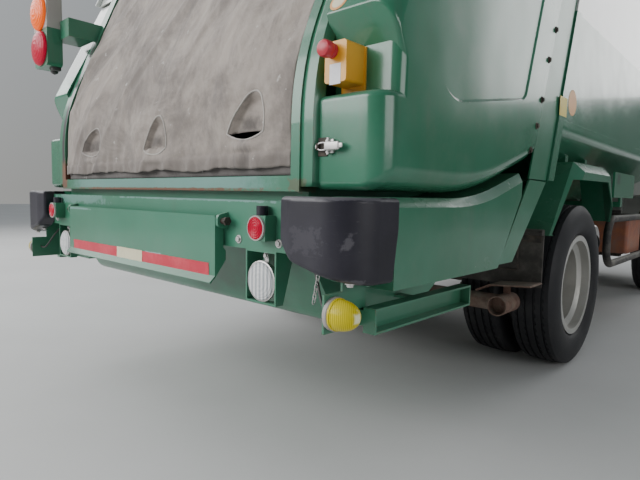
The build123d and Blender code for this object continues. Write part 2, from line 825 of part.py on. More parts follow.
def corner_bumper():
    """Moulded rubber bumper round the rear corner, on the right."""
    inner_x = beam_half_width + seat_gap
    low, high = bumper_z
    plan = outline(
        [
            (inner_x, bumper_rear_y + 14),
            (beam_half_width + 46, bumper_rear_y, 60),
            (bumper_side_x - 8, bumper_rear_y, 105),
            (bumper_side_x, bumper_front_y),
            (bumper_side_x - 50, bumper_front_y),
            (bumper_side_x - 56, beam_rear_y + 6, 50),
            (inner_x, beam_rear_y + 6),
        ]
    )
    front = outline([(inner_x, high - 12, 14), (inner_x, 676, 40), (beam_half_width + 48, 634, 50),
                     (bumper_side_x + 10, 586), (bumper_side_x + 10, high - 12)])
    y = bumper_front_y
    side = outline([(tail_y - 40, high), (y + 12, high), (y - 22, low), (tail_y - 40, low)])
    form = upward(plan, bumper_z) & along(front, (tail_y - 40, y + 20)) & across(side, (inner_x - 1, reach))
    top = [edge for edge in form.edges() if edge.center().Z > high - 14 and edge.center().Y < beam_rear_y]
    return fillet(top, bumper_edge)


def rubber_stop():
    """Rubber stop on the square reflector housing, on the right."""
    return rod_z(15, reflector_x, tail_y + 36, (738 + seat_gap, 762))


reversing_lamp_place = (beam_half_width - 114, 563)
reflector_x = beam_half_width - 88
tail_lamp_x = half_width - 55
tail_lamp_radius = 78
stop_x = hopper_half_width + 103


def lamp_bracket():
    """Brackets for reversing lamp, reflector and side marker, and the side rail, on the right."""
    lamp_x, lamp_z = reversing_lamp_place
    lamp_side = outline([(tail_y + 120, 645), (tail_y + 54, 645), (tail_y + 54, 504), (tail_y + 80, 504)])
    parts = []
    for x in (lamp_x - 60, lamp_x + 55):
        parts.append(across(lamp_side, (x, x + 5)))
    parts.append(block((lamp_x - 60, lamp_x + 60), (tail_y + 54, tail_y + 80), (504, 509)))
    parts.append(block((lamp_x - 60, lamp_x + 60), (tail_y + 54, tail_y + 118), (640, 645)))
    lamp = parts[0] + parts[1] + parts[2] + parts[3]
    x = reflector_x
    square = block((x - 32, x + 32), (tail_y + 18, beam_rear_y), (674, 738))
    square -= block((x - 28, x + 28), (tail_y + 22, beam_rear_y), (678, 734))
    x = half_width - 55
    rail = block((x, x + 36), (tail_y + 135, tail_y + 624), (466, 528))
    rail -= block((x + 6, x + 40), (tail_y + 141, tail_y + 618), (472, 522))
    hangers = block((hopper_half_width, x + 1), (tail_y + 200, tail_y + 240), (472, 480))
    hangers += block((hopper_half_width, x + 1), (tail_y + 530, tail_y + 570), (472, 480))
    plate_x = (x - 18, x - 12)
    marker = block(plate_x, (tail_y + 8, tail_y + 160), (482, 572))
    marker += block(plate_x, (tail_y + 70, tail_y + 160), (482, 640))
    marker += block((x - 13, x + 2), (tail_y + 135, tail_y + 160), (482, 520))
    return [lamp, square, rail + hangers + marker]


def rear_lenses():
    """Reflectors, side markers and tail lamps, on the right."""
    reflector = rod_y(30, reflector_x, (tail_y + 10, tail_y + 18), 706)
    x = half_width - 67
    marker_profile = outline([(x, 0), (x, 37), (x + 27, 37), (x + 57, 26, 16), (x + 74, 8, 6), (x + 74, 0)])
    marker = Pos(0, tail_y + 39, 526) * revolve(marker_profile, Axis.X)
    dome = outline([(0, -74), (tail_lamp_radius, -74), (tail_lamp_radius, -66), (46, -48, 30), (8, -44), (0, -44)])
    lens = mirror(revolve(dome, Axis.Y), about=Plane.XZ)
    upper = Pos(tail_lamp_x, tail_y, 1600) * lens
    lower = Pos(tail_lamp_x, tail_y, 1443) * lens
    return [reflector, marker, upper, lower]


def tail_lamp_housing():
    """Box and arm that carry the two tail lamps, on the right."""
    box = block((tail_lamp_x - 80, tail_lamp_x + 80), (tail_y + 74, tail_y + 140), (1360, 1684))
    box = fillet(box.edges().filter_by(Axis.Y), 20)
    arm = block((hopper_half_width, tail_lamp_x - 30), (tail_y + 130, tail_y + 240), (1480, 1560))
    arm += block((hopper_half_width, hopper_half_width + 6), (tail_y + 130, tail_y + 300), (1480, 1560))
    return box + arm


def reversing_lamp():
    """Round lamp with its shallow housing, on the right."""
    x, z = reversing_lamp_place
    lens = rod_y(50, x, (tail_y + 54, tail_y + 68), 563)
    cup = rod_y(54, x, (tail_y + 68, tail_y + 110), 563)
    return lens + cup + block((x - 10, x + 10), (tail_y + 74, tail_y + 100), (563, 640))


def stop_box():
    """Yellow switch box in the cover's recess."""
    plate = 4
    box = block((stop_x - 33, stop_x + 33), (tail_y + 100, notch_y - plate + 1), (1055, 1150))
    box = fillet(box.edges().filter_by(Axis.Y), 8)
    return box + block((stop_x - 37, stop_x + 37), (notch_y - plate, notch_y), (notch_z[0] + 4, notch_z[1] - 2))


def stop_button():
    """Mushroom head of the stop switch."""
    return rod_y(14, stop_x - 9, (tail_y + 76, tail_y + 100), 1128) + rod_y(20, stop_x - 9, (tail_y + 60, tail_y + 76), 1128)


def canvas_curtain():
    """Curtain across the hopper mouth, plain."""
    band = hopper_band(5, 5 + curtain_thickness)
    return across(band & region((tail_y - 140, tail_y + 760), (curtain_z[0], curtain_z[1] - seat_gap)),
                  (-curtain_half_width, curtain_half_width))


# Lift cylinders

def cylinder_parts():
    """Barrel and rod of the right lift cylinder."""
    lean = degrees(atan((rod_eye[0] - barrel_foot[0]) / (rod_eye[1] - barrel_foot[1])))
    length = ((rod_eye[0] - barrel_foot[0]) ** 2 + (rod_eye[1] - barrel_foot[1]) ** 2) ** 0.5
    place = Pos(cylinder_middle_x, *barrel_foot) * Rot(-lean, 0, 0)
    barrel = rod_z(barrel_radius, 0, 0, (62, 780)) - rod_z(rod_radius + fit, 0, 0, (80, 781))
    barrel += rod_x(32, (-20, 20), 0, 0) + block((-16, 16), (-20, 20), (0, 70))
    barrel -= rod_x(cylinder_pin_radius + fit, (-30, 30), 0, 0)
    rod = rod_z(rod_radius, 0, 0, (85, length - 20)) + rod_x(30, (-16, 16), 0, length)
    rod -= rod_x(cylinder_pin_radius + 1, (-30, 30), 0, length)
    return place * barrel, place * rod


# Wheels


def tyre(x):
    """Road tyre centred at x on the axle line through the origin."""
    half = tyre_width / 2
    bead = rim_inner_width / 2
    section = [
        (x - bead, rim_seat_radius),
        (x - bead, rim_flange_radius + 4),
        (x - half, 285, 30),
        (x - half + 3, 345, 30),
        (x - 82, tyre_radius, tyre_shoulder),
        (x + 82, tyre_radius, tyre_shoulder),
        (x + half - 3, 345, 30),
        (x + half, 285, 30),
        (x + bead, rim_flange_radius + 4),
        (x + bead, rim_seat_radius),
    ]
    return section


def rim_sections(x, side):
    """Barrel and disc of one steel wheel; side is where its disc bulges."""
    bead = rim_inner_width / 2 + seat_gap
    seat = rim_seat_radius - seat_gap
    well = 192
    barrel = [
        (x - bead, seat),
        (x - bead, rim_flange_radius),
        (x - bead - 9, rim_flange_radius),
        (x - bead - 9, seat - rim_thickness),
        (x - 48, seat - rim_thickness),
        (x - 34, well - rim_thickness),
        (x + 34, well - rim_thickness),
        (x + 48, seat - rim_thickness),
        (x + bead + 9, seat - rim_thickness),
        (x + bead + 9, rim_flange_radius),
        (x + bead, rim_flange_radius),
        (x + bead, seat),
        (x + 44, seat),
        (x + 30, well),
        (x - 30, well),
        (x - 44, seat),
    ]
    face = x + side * disc_offset
    back = face - side * disc_thickness
    disc = [
        (face, 70),
        (face, 138, 20),
        (x + side * 66, seat - rim_thickness + 1),
        (x + side * 54, seat - rim_thickness + 1),
        (back, 128, 20),
        (back, 70),
    ]
    return barrel, disc


def hand_holes(x, y, z, count, start):
    """Round holes through a wheel disc."""
    cutter = None
    for index in range(count):
        angle = radians(start + index * 360 / count)
        hole = rod_x(21, (x - 60, x + 60), y + 172 * sin(angle), z + 172 * cos(angle))
        cutter = hole if cutter is None else cutter + hole
    return cutter


def rear_rims():
    """Two steel wheels back to back on one hub and drum, on the right."""
    solid = None
    for x, side in ((rear_wheel_x - disc_offset, 1), (rear_wheel_x + disc_offset, -1)):
        for section in rim_sections(x, side):
            piece = turned(section, rear_axle_y, tyre_radius)
            solid = piece if solid is None else solid + piece
    hub = turned(
        [
            (rear_wheel_x - 208, spindle_radius + fit),
            (rear_wheel_x - 208, 160),
            (rear_wheel_x - 50, 160),
            (rear_wheel_x - 50, 140),
            (rear_wheel_x - disc_thickness, 140),
            (rear_wheel_x - disc_thickness, 72),
            (rear_wheel_x + 60, 72),
            (rear_wheel_x + 60, 58),
            (rear_wheel_x + 92, 58, 8),
            (rear_wheel_x + 92, 0),
            (rear_wheel_x + 46, 0),
            (rear_wheel_x + 46, spindle_radius + fit),
        ],
        rear_axle_y,
        tyre_radius,
    )
    solid += hub
    for index in range(6):
        angle = radians(index * 60)
        solid += rod_x(16, (rear_wheel_x - 10, rear_wheel_x + 42), rear_axle_y + 111 * sin(angle),
                       tyre_radius + 111 * cos(angle))
    return solid - hand_holes(rear_wheel_x, rear_axle_y, tyre_radius, 6, 30)


def front_rim():
    """Steel wheel with its disc outward, hub and drum, on the right."""
    barrel, disc = rim_sections(front_wheel_x, 1)
    solid = turned(barrel, front_axle_y, tyre_radius) + turned(disc, front_axle_y, tyre_radius)
    face = front_wheel_x + disc_offset
    hub = turned(
        [
            (front_wheel_x - 70, 30 + fit),
            (front_wheel_x - 70, 150),
            (front_wheel_x + 38, 150),
            (front_wheel_x + 38, 130),
            (face - disc_thickness, 130),
            (face - disc_thickness, 72),
            (face + 20, 72),
            (face + 20, 50),
            (face + 44, 50, 8),
            (face + 44, 0),
            (face - 30, 0),
            (face - 30, 30 + fit),
        ],
        front_axle_y,
        tyre_radius,
    )
    solid += hub
    for index in range(6):
        angle = radians(index * 60)
        solid += rod_x(16, (face - 12, face + 26), front_axle_y + 100 * sin(angle), tyre_radius + 100 * cos(angle))
    return solid - hand_holes(face - 50, front_axle_y, tyre_radius, 6, 30)


def knuckle():
    """Steering knuckle with its kingpin and spindle, on the right."""
    x, y, z = kingpin_x, front_axle_y, tyre_radius
    fork = block((x - 34, x + 50), (y - 30, y + 30), (z - 84, z - 58))
    fork += block((x - 34, x + 50), (y - 30, y + 30), (z + 58, z + 84))
    fork += block((x + 40, x + 54), (y - 30, y + 30), (z - 84, z + 84))
    spindle = rod_x(30, (x + 50, front_wheel_x + 84), y, z)
    pin = rod_z(kingpin_radius, x, y, (z - 90, z + 90))
    arm = block((x - 10, x + 20), (y - 190, y - 25), (z - 84, z - 66))
    return fork + spindle + pin + arm


# Cab

windscreen_foot = (half_length - 38, cab_belt_z)
windscreen_top_y = half_length - 320


def cab_side(inset, bottom):
    """Side view of the cab; its rear top corner is round outside and square inside."""
    rear_radius = 0 if inset else 70
    face = outline(
        [
            (cab_rear_y, bottom),
            (cab_rear_y, cab_roof_z, rear_radius),
            (windscreen_top_y, cab_roof_z, 110),
            (*windscreen_foot, 60),
            (half_length - 24, 1060, 200),
            (half_length - 34, bottom),
        ]
    )
    return offset(face, amount=-inset, kind=Kind.INTERSECTION) if inset else face


def cab_front(inset):
    """Front view of the cab, drawn in X and Z."""
    top = cab_half_width - 46
    face = outline(
        [
            (-cab_half_width, 500),
            (cab_half_width, 500),
            (cab_half_width, cab_belt_z, 300),
            (top, cab_roof_z, 110),
            (-top, cab_roof_z, 110),
            (-cab_half_width, cab_belt_z, 300),
        ]
    )
    return offset(face, amount=-inset, kind=Kind.INTERSECTION) if inset else face


def cab_plan(inset):
    """Plan of the cab, drawn in X and Y."""
    face = outline(
        [
            (-cab_half_width, cab_rear_y),
            (cab_half_width, cab_rear_y),
            (cab_half_width, half_length - 18, cab_corner),
            (-cab_half_width, half_length - 18, cab_corner),
        ]
    )
    return offset(face, amount=-inset, kind=Kind.INTERSECTION) if inset else face


def cab_form(inset, bottom=cab_skirt_z):
    """Solid form of the cab, set in by a distance from its outer surface."""
    side = across(cab_side(inset, bottom), (-reach, reach))
    front = along(cab_front(inset), (cab_rear_y - 100, half_length + 100))
    plan = upward(cab_plan(inset), (300, cab_roof_z + 100))
    return side & front & plan


def door_face(grow):
    """Side view of a door."""
    face = outline(
        [
            (door_y[0], door_bottom, 20),
            (door_y[0], door_top, 40),
            (door_y[1] - 205, door_top, 60),
            (door_y[1], cab_belt_z + 70, 90),
            (door_y[1], door_bottom, 20),
        ]
    )
    return offset(face, amount=grow, kind=Kind.INTERSECTION) if grow else face


def door_window(grow):
    """Side view of a door's window."""
    face = outline(
        [
            (door_y[0] + 70, cab_belt_z + 10, 30),
            (door_y[0] + 70, door_top - 70, 40),
            (door_y[1] - 235, door_top - 70, 50),
            (door_y[1] - 75, cab_belt_z + 60, 60),
            (door_y[1] - 75, cab_belt_z + 10, 30),
        ]
    )
    return offset(face, amount=grow, kind=Kind.INTERSECTION) if grow else face


def windscreen(grow):
    """Front view of the windscreen, drawn in X and Z."""
    low, high = cab_half_width - 118, cab_half_width - 148
    face = outline([(-low, cab_belt_z + 55, 70), (low, cab_belt_z + 55, 70), (high, cab_roof_z - 130, 90),
                    (-high, cab_roof_z - 130, 90)])
    return offset(face, amount=grow, kind=Kind.INTERSECTION) if grow else face


def back_window(grow):
    """Front view of the rear window, drawn in X and Z."""
    face = outline([(-520, 1480, 50), (520, 1480, 50), (520, 1900, 50), (-520, 1900, 50)])
    return offset(face, amount=grow, kind=Kind.INTERSECTION) if grow else face


cab_outer = cab_form(0)
cab_inner = cab_form(cab_panel, cab_floor_z + cab_floor - cab_panel)
arch = rod_x(arch_radius, (-reach, reach), front_axle_y, tyre_radius)
screen_y = (half_length - 560, half_length + 140)
back_y = (cab_rear_y - 50, cab_rear_y + 100)


def headlamp_face(grow):
    """Front view of the right headlamp, drawn in X and Z."""
    inner, outer = cab_half_width - 358, cab_half_width - 68
    face = outline([(inner, 700, 30), (outer, 720, 40), (outer, 860, 40), (inner, 850, 30)])
    return offset(face, amount=grow, kind=Kind.INTERSECTION) if grow else face


def cab_shell():
    """Hollow cab with door, window and wheel openings, steps and pivot brackets."""
    underside = block((-cab_half_width + 40, cab_half_width - 40), (cab_rear_y - 10, half_length - 110),
                      (cab_skirt_z - 10, cab_floor_z))
    shell = cab_outer - cab_inner - underside - arch
    shell -= across(door_face(0), (-reach, -door_inner_x)) + across(door_face(0), (door_inner_x, reach))
    shell -= along(windscreen(0), screen_y) + along(back_window(0), back_y)
    for lamp in pair(along(headlamp_face(0), (half_length - 160, half_length + 40))):
        shell -= lamp
    step_y = (door_y[1] - 280, door_y[1] - 20)
    step_x = cab_half_width - 198
    for side in (-1, 1):
        low, high = sorted((side * step_x, side * reach))
        shell -= block((low, high), step_y, (cab_skirt_z + 60, cab_floor_z - 20))
        low, high = sorted((side * step_x, side * (cab_half_width - 10)))
        well = block((low, high), (step_y[0] - 8, step_y[1] + 8), (cab_skirt_z + 40, cab_floor_z + 1))
        low, high = sorted((side * (step_x + 8), side * reach))
        shell += well - block((low, high), step_y, (cab_skirt_z + 60, cab_floor_z - 20))
        low, high = sorted((side * (frame_half_width - 50), side * (frame_half_width - 14)))
        y, z = cab_pivot
        bracket = outline([(y - 40, z - 34, 20), (y + 40, z - 34, 20), (y + 70, cab_floor_z + 5), (y - 70, cab_floor_z + 5)])
        shell += across(bracket, (low, high)) - rod_x(18 + fit, (low - 5, high + 5), y, z)
        x, y = side * hinge_line[0], hinge_line[1]
        low, high = sorted((side * (cab_half_width - 18), side * (hinge_line[0] - 2)))
        for z in hinge_heights:
            for start in (z - hinge_height, z + hinge_height):
                span = (start + 1, start + hinge_height - 1)
                shell += block((low, high), (hinge_line[1] + 3, hinge_line[1] + 48), span) + rod_z(hinge_barrel, x, y, span)
            shell += rod_z(hinge_pin, x, y, (z - hinge_height + 2, z + 2 * hinge_height - 2))
    return shell


def cab_pivot_pins():
    """Brackets at the frame's front end that carry the cab's tilt pins."""
    parts = []
    y, z = cab_pivot
    for side in (-1, 1):
        low, high = sorted((side * (frame_half_width - 8), side * (frame_half_width + 8)))
        plate = outline([(frame_front, z - 60), (y + 30, z - 30, 25), (y + 30, z + 30, 25), (frame_front, z + 60)])
        low_pin, high_pin = sorted((side * (frame_half_width - 58), side * (frame_half_width + 8)))
        parts.append(across(plate, (low, high)) + rod_x(18, (low_pin, high_pin), y, z))
    return parts


def cab_glass():
    """Windscreen and rear window."""
    pane = cab_form(12) - cab_form(12 + glass_thickness)
    return [pane & along(windscreen(-seat_gap), screen_y), pane & along(back_window(-seat_gap), back_y)]


def door():
    """Right door with its window opening."""
    shell = cab_outer - cab_inner
    panel = shell & across(door_face(-door_gap), (door_inner_x, reach))
    panel -= across(door_window(0), (door_inner_x, reach))
    for z in hinge_heights:
        panel += block((cab_half_width - 18, hinge_line[0] - 2), (hinge_line[1] - 47, hinge_line[1] - 3), (z, z + hinge_height))
        panel += rod_z(hinge_barrel, *hinge_line, (z, z + hinge_height))
        panel -= rod_z(hinge_pin + fit, *hinge_line, (z - 5, z + hinge_height + 5))
    return panel


def door_glass():
    """Right door's window pane."""
    pane = cab_form(14) - cab_form(14 + glass_thickness)
    return pane & across(door_window(-seat_gap), (door_inner_x, reach))


def cab_bumper():
    """Front bumper with its lower intake."""
    outer = upward(cab_plan(0), (330, cab_skirt_z - 4)) & block((-reach, reach), (half_length - 300, half_length), (300, 700))
    outer = Pos(0, 18, 0) * outer
    inner = upward(cab_plan(90), (250, 700)) & block((-reach, reach), (half_length - 460, half_length), (250, 700))
    intake = block((-420, 420), (half_length - 160, half_length + 40), (430, 520))
    bumper = outer - inner - intake
    for x in (-560, 480):
        bumper += block((x, x + 80), (half_length - 90, half_length - 48), (590, cab_skirt_z - seat_gap))
    for x in (-plate_hole_spacing / 2, plate_hole_spacing / 2):
        bumper -= rod_y(plate_hole_radius, x, (half_length - 20, half_length + 5), plate_hole_z)
    return bumper


grille_half_width = 470
grille_z = (965, 1160)


def cab_grille():
    """Slatted grille on the cab's front panel."""
    rim = 24
    face = outline([(-grille_half_width, grille_z[0], 30), (grille_half_width, grille_z[0], 30),
                    (grille_half_width, grille_z[1], 30), (-grille_half_width, grille_z[1], 30)])
    plate = (cab_form(-8) - cab_form(-seat_gap)) & along(face, screen_y)
    slots = 4
    pitch = (grille_z[1] - grille_z[0] - rim) / slots
    for index in range(slots):
        low = grille_z[0] + rim + index * pitch
        plate -= block((rim - grille_half_width, grille_half_width - rim), screen_y, (low, low + pitch - 16))
    return plate


def headlamp():
    """Headlamp lens and body let into the front panel, on the right."""
    return cab_outer & along(headlamp_face(-seat_gap), (half_length - 160, half_length + 40))


def mirror_arm():
    """Door mirror on its stay, on the right."""
    x, y = cab_half_width, half_length - 190
    head = fillet(block((x + 42, x + 202), (y - 30, y + 30), (1500, 1860)).edges(), 20)
    stay = rod_x(12, (x - 68, x + 62), y, 1560) + rod_x(12, (x - 68, x + 62), y, 1800)
    return head + (stay - cab_outer)


def seats():
    """Driver's seat on the right and a double seat on the left."""
    parts = []
    outer_x, y = cab_half_width - 278, cab_rear_y + 225
    for x in ((outer_x - 500, outer_x), (-outer_x, 700 - outer_x)):
        base = fillet(block(x, (y + 140, y + 640), (1060, 1240)).edges(), 40)
        back = fillet(block(x, (y, y + 160), (1120, 1780)).edges(), 40)
        box = block((x[0] + 60, x[1] - 60), (y + 180, y + 580), (cab_floor_z + cab_floor, 1062))
        parts.append(base + back + box)
    return parts


def dashboard():
    """Dashboard with the steering column and wheel."""
    y = half_length
    profile = outline([(y - 330, 1150, 40), (y - 310, 1330, 60), (y - 50, 1300), (y - 50, 1000), (y - 200, 980, 20)])
    panel = across(profile, (-cab_half_width, cab_half_width)) & cab_form(cab_panel + seat_gap, cab_floor_z)
    wheel_radius = 205
    lean = 32
    place = Pos(steering_wheel_x, y - 500, 1330) * Rot(lean, 0, 0)
    grip = 14
    section = outline([(wheel_radius - grip, 0), (wheel_radius - grip / 2, -grip), (wheel_radius + grip / 2, -grip),
                       (wheel_radius + grip, 0), (wheel_radius + grip / 2, grip), (wheel_radius - grip / 2, grip)])
    rim = revolve(Plane.XZ * section, Axis.Z)
    hub = Cylinder(48, 30)
    column = Cylinder(32, 300, align=(Align.CENTER, Align.CENTER, Align.MAX))
    spokes = Box(2 * wheel_radius, 44, 14) + Pos(0, -wheel_radius / 2, 0) * Box(36, wheel_radius, 14)
    bracket = block((steering_wheel_x - 30, steering_wheel_x + 30), (y - 430, y - 300), (1175, 1225))
    return panel + bracket + place * (rim + hub + column + spokes)


save("frame_rails", *pair(frame_rail()), *cab_pivot_pins())
save("crossmembers", *crossmembers())
save("leaf_springs", *pair(leaf_spring(rear_axle_y, 446, 500)), *pair(leaf_spring(front_axle_y, 420, 500)))
save("rear_axle", rear_axle())
save("front_axle", front_axle())
save("engine_block", engine_block())
save("fuel_tank", fuel_tank())
save("air_tank", air_tank())
save("battery_box", battery_box())
save("exhaust", exhaust())
save("side_guards", *pair(side_guard()))
fenders = []
for shape in rear_fender():
    fenders.extend(pair(shape))
save("rear_fenders", *fenders)
save("mud_flaps", *pair(mud_flap()))
floor, side, edge, roof = body_sheets()
save("body_floor", floor)
save("body_sides", *pair(side))
save("body_roof_edges", *pair(edge))
save("body_roof", roof)
save("body_front_wall", body_front_wall())
save("body_ring", body_ring())
save("body_sills", body_sills())
save("hopper_shell", hopper_shell())
for label, shape in (("tailgate_side", tailgate_side()), ("side_cover", side_cover()), ("door", door()),
                     ("door_glass", door_glass())):
    right, left = pair(shape)
    save(f"{label}_right", right)
    save(f"{label}_left", left)
save("side_skirts", *pair(side_skirt()))
save("rear_beam", rear_beam())
save("folding_table", folding_table())
save("corner_bumpers", *pair(corner_bumper()), *pair(rubber_stop()))
brackets = []
for shape in lamp_bracket():
    brackets.extend(pair(shape))
save("lamp_brackets", *brackets)
lenses = []
for shape in rear_lenses():
    lenses.extend(pair(shape))
save("rear_lenses", *lenses)
save("tail_lamp_housings", *pair(tail_lamp_housing()))
save("reversing_lamps", *pair(reversing_lamp()))
save("stop_box", stop_box())
save("stop_button", stop_button())
save("canvas_curtain", canvas_curtain())
barrel, rod = cylinder_parts()
save("lift_barrels", *pair(barrel))
save("lift_rods", *pair(rod))
save("cab_shell", cab_shell())
save("cab_glass", *cab_glass())
save("cab_bumper", cab_bumper())
save("headlamps", *pair(headlamp()))
save("cab_grille", cab_grille())
save("mirrors", *pair(mirror_arm()))
save("seats", *seats())
save("dashboard", dashboard())
rear_tyres = [turned(tyre(rear_wheel_x + offset_x), rear_axle_y, tyre_radius) for offset_x in (-disc_offset, disc_offset)]
front_tyre = turned(tyre(front_wheel_x), front_axle_y, tyre_radius)
rear_rim = rear_rims()
wheel_parts = {
    "rear_rims": [rear_rim],
    "rear_tyres": rear_tyres,
    "front_rim": [front_rim()],
    "front_tyre": [front_tyre],
    "knuckle": [knuckle()],
}
for label, shapes in wheel_parts.items():
    save(f"{label}_right", *shapes)
    save(f"{label}_left", *[mirror(shape, about=Plane.YZ) for shape in shapes])
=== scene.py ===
# %% [markdown]
# A rear-loading garbage truck, seen from its rear right corner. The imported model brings
# every welded and moulded part at its real size. This script gives each part its finish
# and adds what the workshop adds last: tread, bolts, lamps' ribs, canvas and wiring.

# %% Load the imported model
import json
import math
import bmesh
import bpy
from mathutils import Matrix, Vector, noise
from mathutils.bvhtree import BVHTree


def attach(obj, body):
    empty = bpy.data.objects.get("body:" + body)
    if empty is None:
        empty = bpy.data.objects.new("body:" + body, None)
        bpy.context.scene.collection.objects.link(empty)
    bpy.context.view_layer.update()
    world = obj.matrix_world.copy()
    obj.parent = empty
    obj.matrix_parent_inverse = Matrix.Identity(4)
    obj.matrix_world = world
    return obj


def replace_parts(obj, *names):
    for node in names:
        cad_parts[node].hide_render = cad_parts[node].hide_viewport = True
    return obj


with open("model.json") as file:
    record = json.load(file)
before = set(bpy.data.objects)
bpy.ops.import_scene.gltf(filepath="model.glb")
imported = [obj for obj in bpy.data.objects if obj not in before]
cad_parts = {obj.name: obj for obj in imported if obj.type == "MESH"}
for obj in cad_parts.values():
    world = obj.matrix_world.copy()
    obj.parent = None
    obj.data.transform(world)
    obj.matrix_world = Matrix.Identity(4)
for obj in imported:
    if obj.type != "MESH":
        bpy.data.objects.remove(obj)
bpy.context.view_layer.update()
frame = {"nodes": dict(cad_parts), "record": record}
nodes = frame["nodes"]

# %% [markdown]
# The photograph's camera follows from where parallel lines meet in it. Lines along the
# truck's width run to one point and lines along its length to another. The two
# directions are at right angles, which gives the lens, and their cross product is up. A
# camera could also be moved by eye until the views agree, but that never gives a sure
# lens.

# %% Camera from two vanishing points
picture = Vector((640, 480))
left_point = Vector((-230, 185))
forward_point = Vector((780, 205))
eye = Vector((1.644, -3.665, 0.790))
sensor_width = 36.0


def camera_axes():
    """Focal length in pixels and the truck's axes as the camera sees them."""
    middle = picture / 2
    to_left = left_point - middle
    to_front = forward_point - middle
    focal = math.sqrt(-to_left.dot(to_front))
    right = -Vector((to_left.x, to_left.y, focal)).normalized()
    front = Vector((to_front.x, to_front.y, focal)).normalized()
    return focal, Matrix((right, front, right.cross(front)))


def add_camera():
    """Camera where the picture was taken from, 0.79 m above the ground."""
    focal, axes = camera_axes()
    to_blender = Matrix(((1, 0, 0), (0, -1, 0), (0, 0, -1)))
    data = bpy.data.cameras.new("camera")
    data.sensor_width = sensor_width
    data.lens = focal * sensor_width / picture.x
    data.clip_start = 0.05
    data.clip_end = 200
    camera = bpy.data.objects.new("camera", data)
    camera.matrix_world = Matrix.Translation(eye) @ (axes @ to_blender).to_4x4()
    bpy.context.scene.collection.objects.link(camera)
    bpy.context.scene.camera = camera
    print("lens", round(data.lens, 2), "mm")


add_camera()

# %% [markdown]
# The truck stood outdoors under a bright sky. A sky picture could light it, but a
# studio of plain lamps needs no file: a pale floor, a world that is a little brighter
# above than at the horizon, and a few large soft lights whose reflections run along the
# glossy side panels.

# %% Floor and light
floor_size = 60.0
lights = {
    "sky_behind": {"place": (-3.5, -9.0, 4.2), "target": (0.0, -2.8, 0.9), "size": (7, 4), "power": 640},
    "sky_left": {"place": (-7.5, -3.0, 6.0), "target": (0.0, -1.5, 1.2), "size": (7, 5), "power": 380},
    "wall_right": {"place": (8.5, -2.0, 2.6), "target": (0.9, -1.2, 1.0), "size": (6, 2), "power": 150},
    "front_soft": {"place": (3.0, 9.0, 5.0), "target": (0.0, 2.0, 1.2), "size": (6, 4), "power": 260},
}


def add_floor():
    """Large pale sheet under the wheels."""
    bm = bmesh.new()
    bmesh.ops.create_grid(bm, x_segments=1, y_segments=1, size=floor_size / 2)
    mesh = bpy.data.meshes.new("floor")
    bm.to_mesh(mesh)
    bm.free()
    floor = bpy.data.objects.new("floor", mesh)
    bpy.context.scene.collection.objects.link(floor)
    return floor


def add_area(name, place, target, size, power):
    """Rectangular white light at a place, aimed at a target."""
    data = bpy.data.lights.new(name, "AREA")
    data.shape = "RECTANGLE"
    data.size, data.size_y = size
    data.energy = power
    lamp = bpy.data.objects.new(name, data)
    direction = Vector(target) - Vector(place)
    turn = direction.to_track_quat("-Z", "Y").to_matrix().to_4x4()
    lamp.matrix_world = Matrix.Translation(place) @ turn
    bpy.context.scene.collection.objects.link(lamp)


def add_world():
    """Pale studio sky, darker at the truck's right and front."""
    world = bpy.data.worlds.new("studio_sky")
    bpy.context.scene.world = world
    world.use_nodes = True
    tree = world.node_tree
    back = tree.nodes["Background"]
    place = tree.nodes.new("ShaderNodeTexCoord")
    split = tree.nodes.new("ShaderNodeSeparateXYZ")
    tree.links.new(place.outputs["Generated"], split.inputs[0])
    colours = []
    stops = {"Z": ((0.0, (0.70, 0.70, 0.68, 1)), (0.5, (0.88, 0.94, 1.0, 1))),
             "Y": ((0.2, (1.0, 1.0, 1.0, 1)), (0.95, (0.40, 0.43, 0.43, 1))),
             "X": ((0.0, (1.0, 1.0, 1.0, 1)), (0.75, (0.34, 0.37, 0.37, 1)))}
    for axis, pair in stops.items():
        ramp = tree.nodes.new("ShaderNodeValToRGB")
        for element, (position, colour) in zip(ramp.color_ramp.elements, pair):
            element.position = position
            element.color = colour
        tree.links.new(split.outputs[axis], ramp.inputs[0])
        colours.append(ramp.outputs[0])
    colour = colours[0]
    for other in colours[1:]:
        product = tree.nodes.new("ShaderNodeMix")
        product.data_type = "RGBA"
        product.blend_type = "MULTIPLY"
        product.inputs[0].default_value = 1.0
        tree.links.new(colour, product.inputs[6])
        tree.links.new(other, product.inputs[7])
        colour = product.outputs[2]
    tree.links.new(colour, back.inputs["Color"])
    back.inputs["Strength"].default_value = 0.55


floor = add_floor()
add_world()
for label, row in lights.items():
    add_area(label, **row)
print("lights", len(lights))

# %% [markdown]
# Effects that several finishes share are node groups with named inputs. The same nodes
# could be copied into each material, but a group is changed in one place. A small class
# keeps the wiring short, so that a finish reads like a recipe.

# %% Helpers that build node groups
def new_group(name, inputs, outputs):
    """Empty shader node group with float, colour and vector sockets."""
    group = bpy.data.node_groups.new(name, "ShaderNodeTree")
    kinds = {"float": "NodeSocketFloat", "color": "NodeSocketColor", "vector": "NodeSocketVector"}
    for label, kind, value in inputs:
        socket = group.interface.new_socket(name=label, in_out="INPUT", socket_type=kinds[kind])
        socket.default_value = value
    for label, kind in outputs:
        group.interface.new_socket(name=label, in_out="OUTPUT", socket_type=kinds[kind])
    return group, group.nodes.new("NodeGroupInput"), group.nodes.new("NodeGroupOutput")


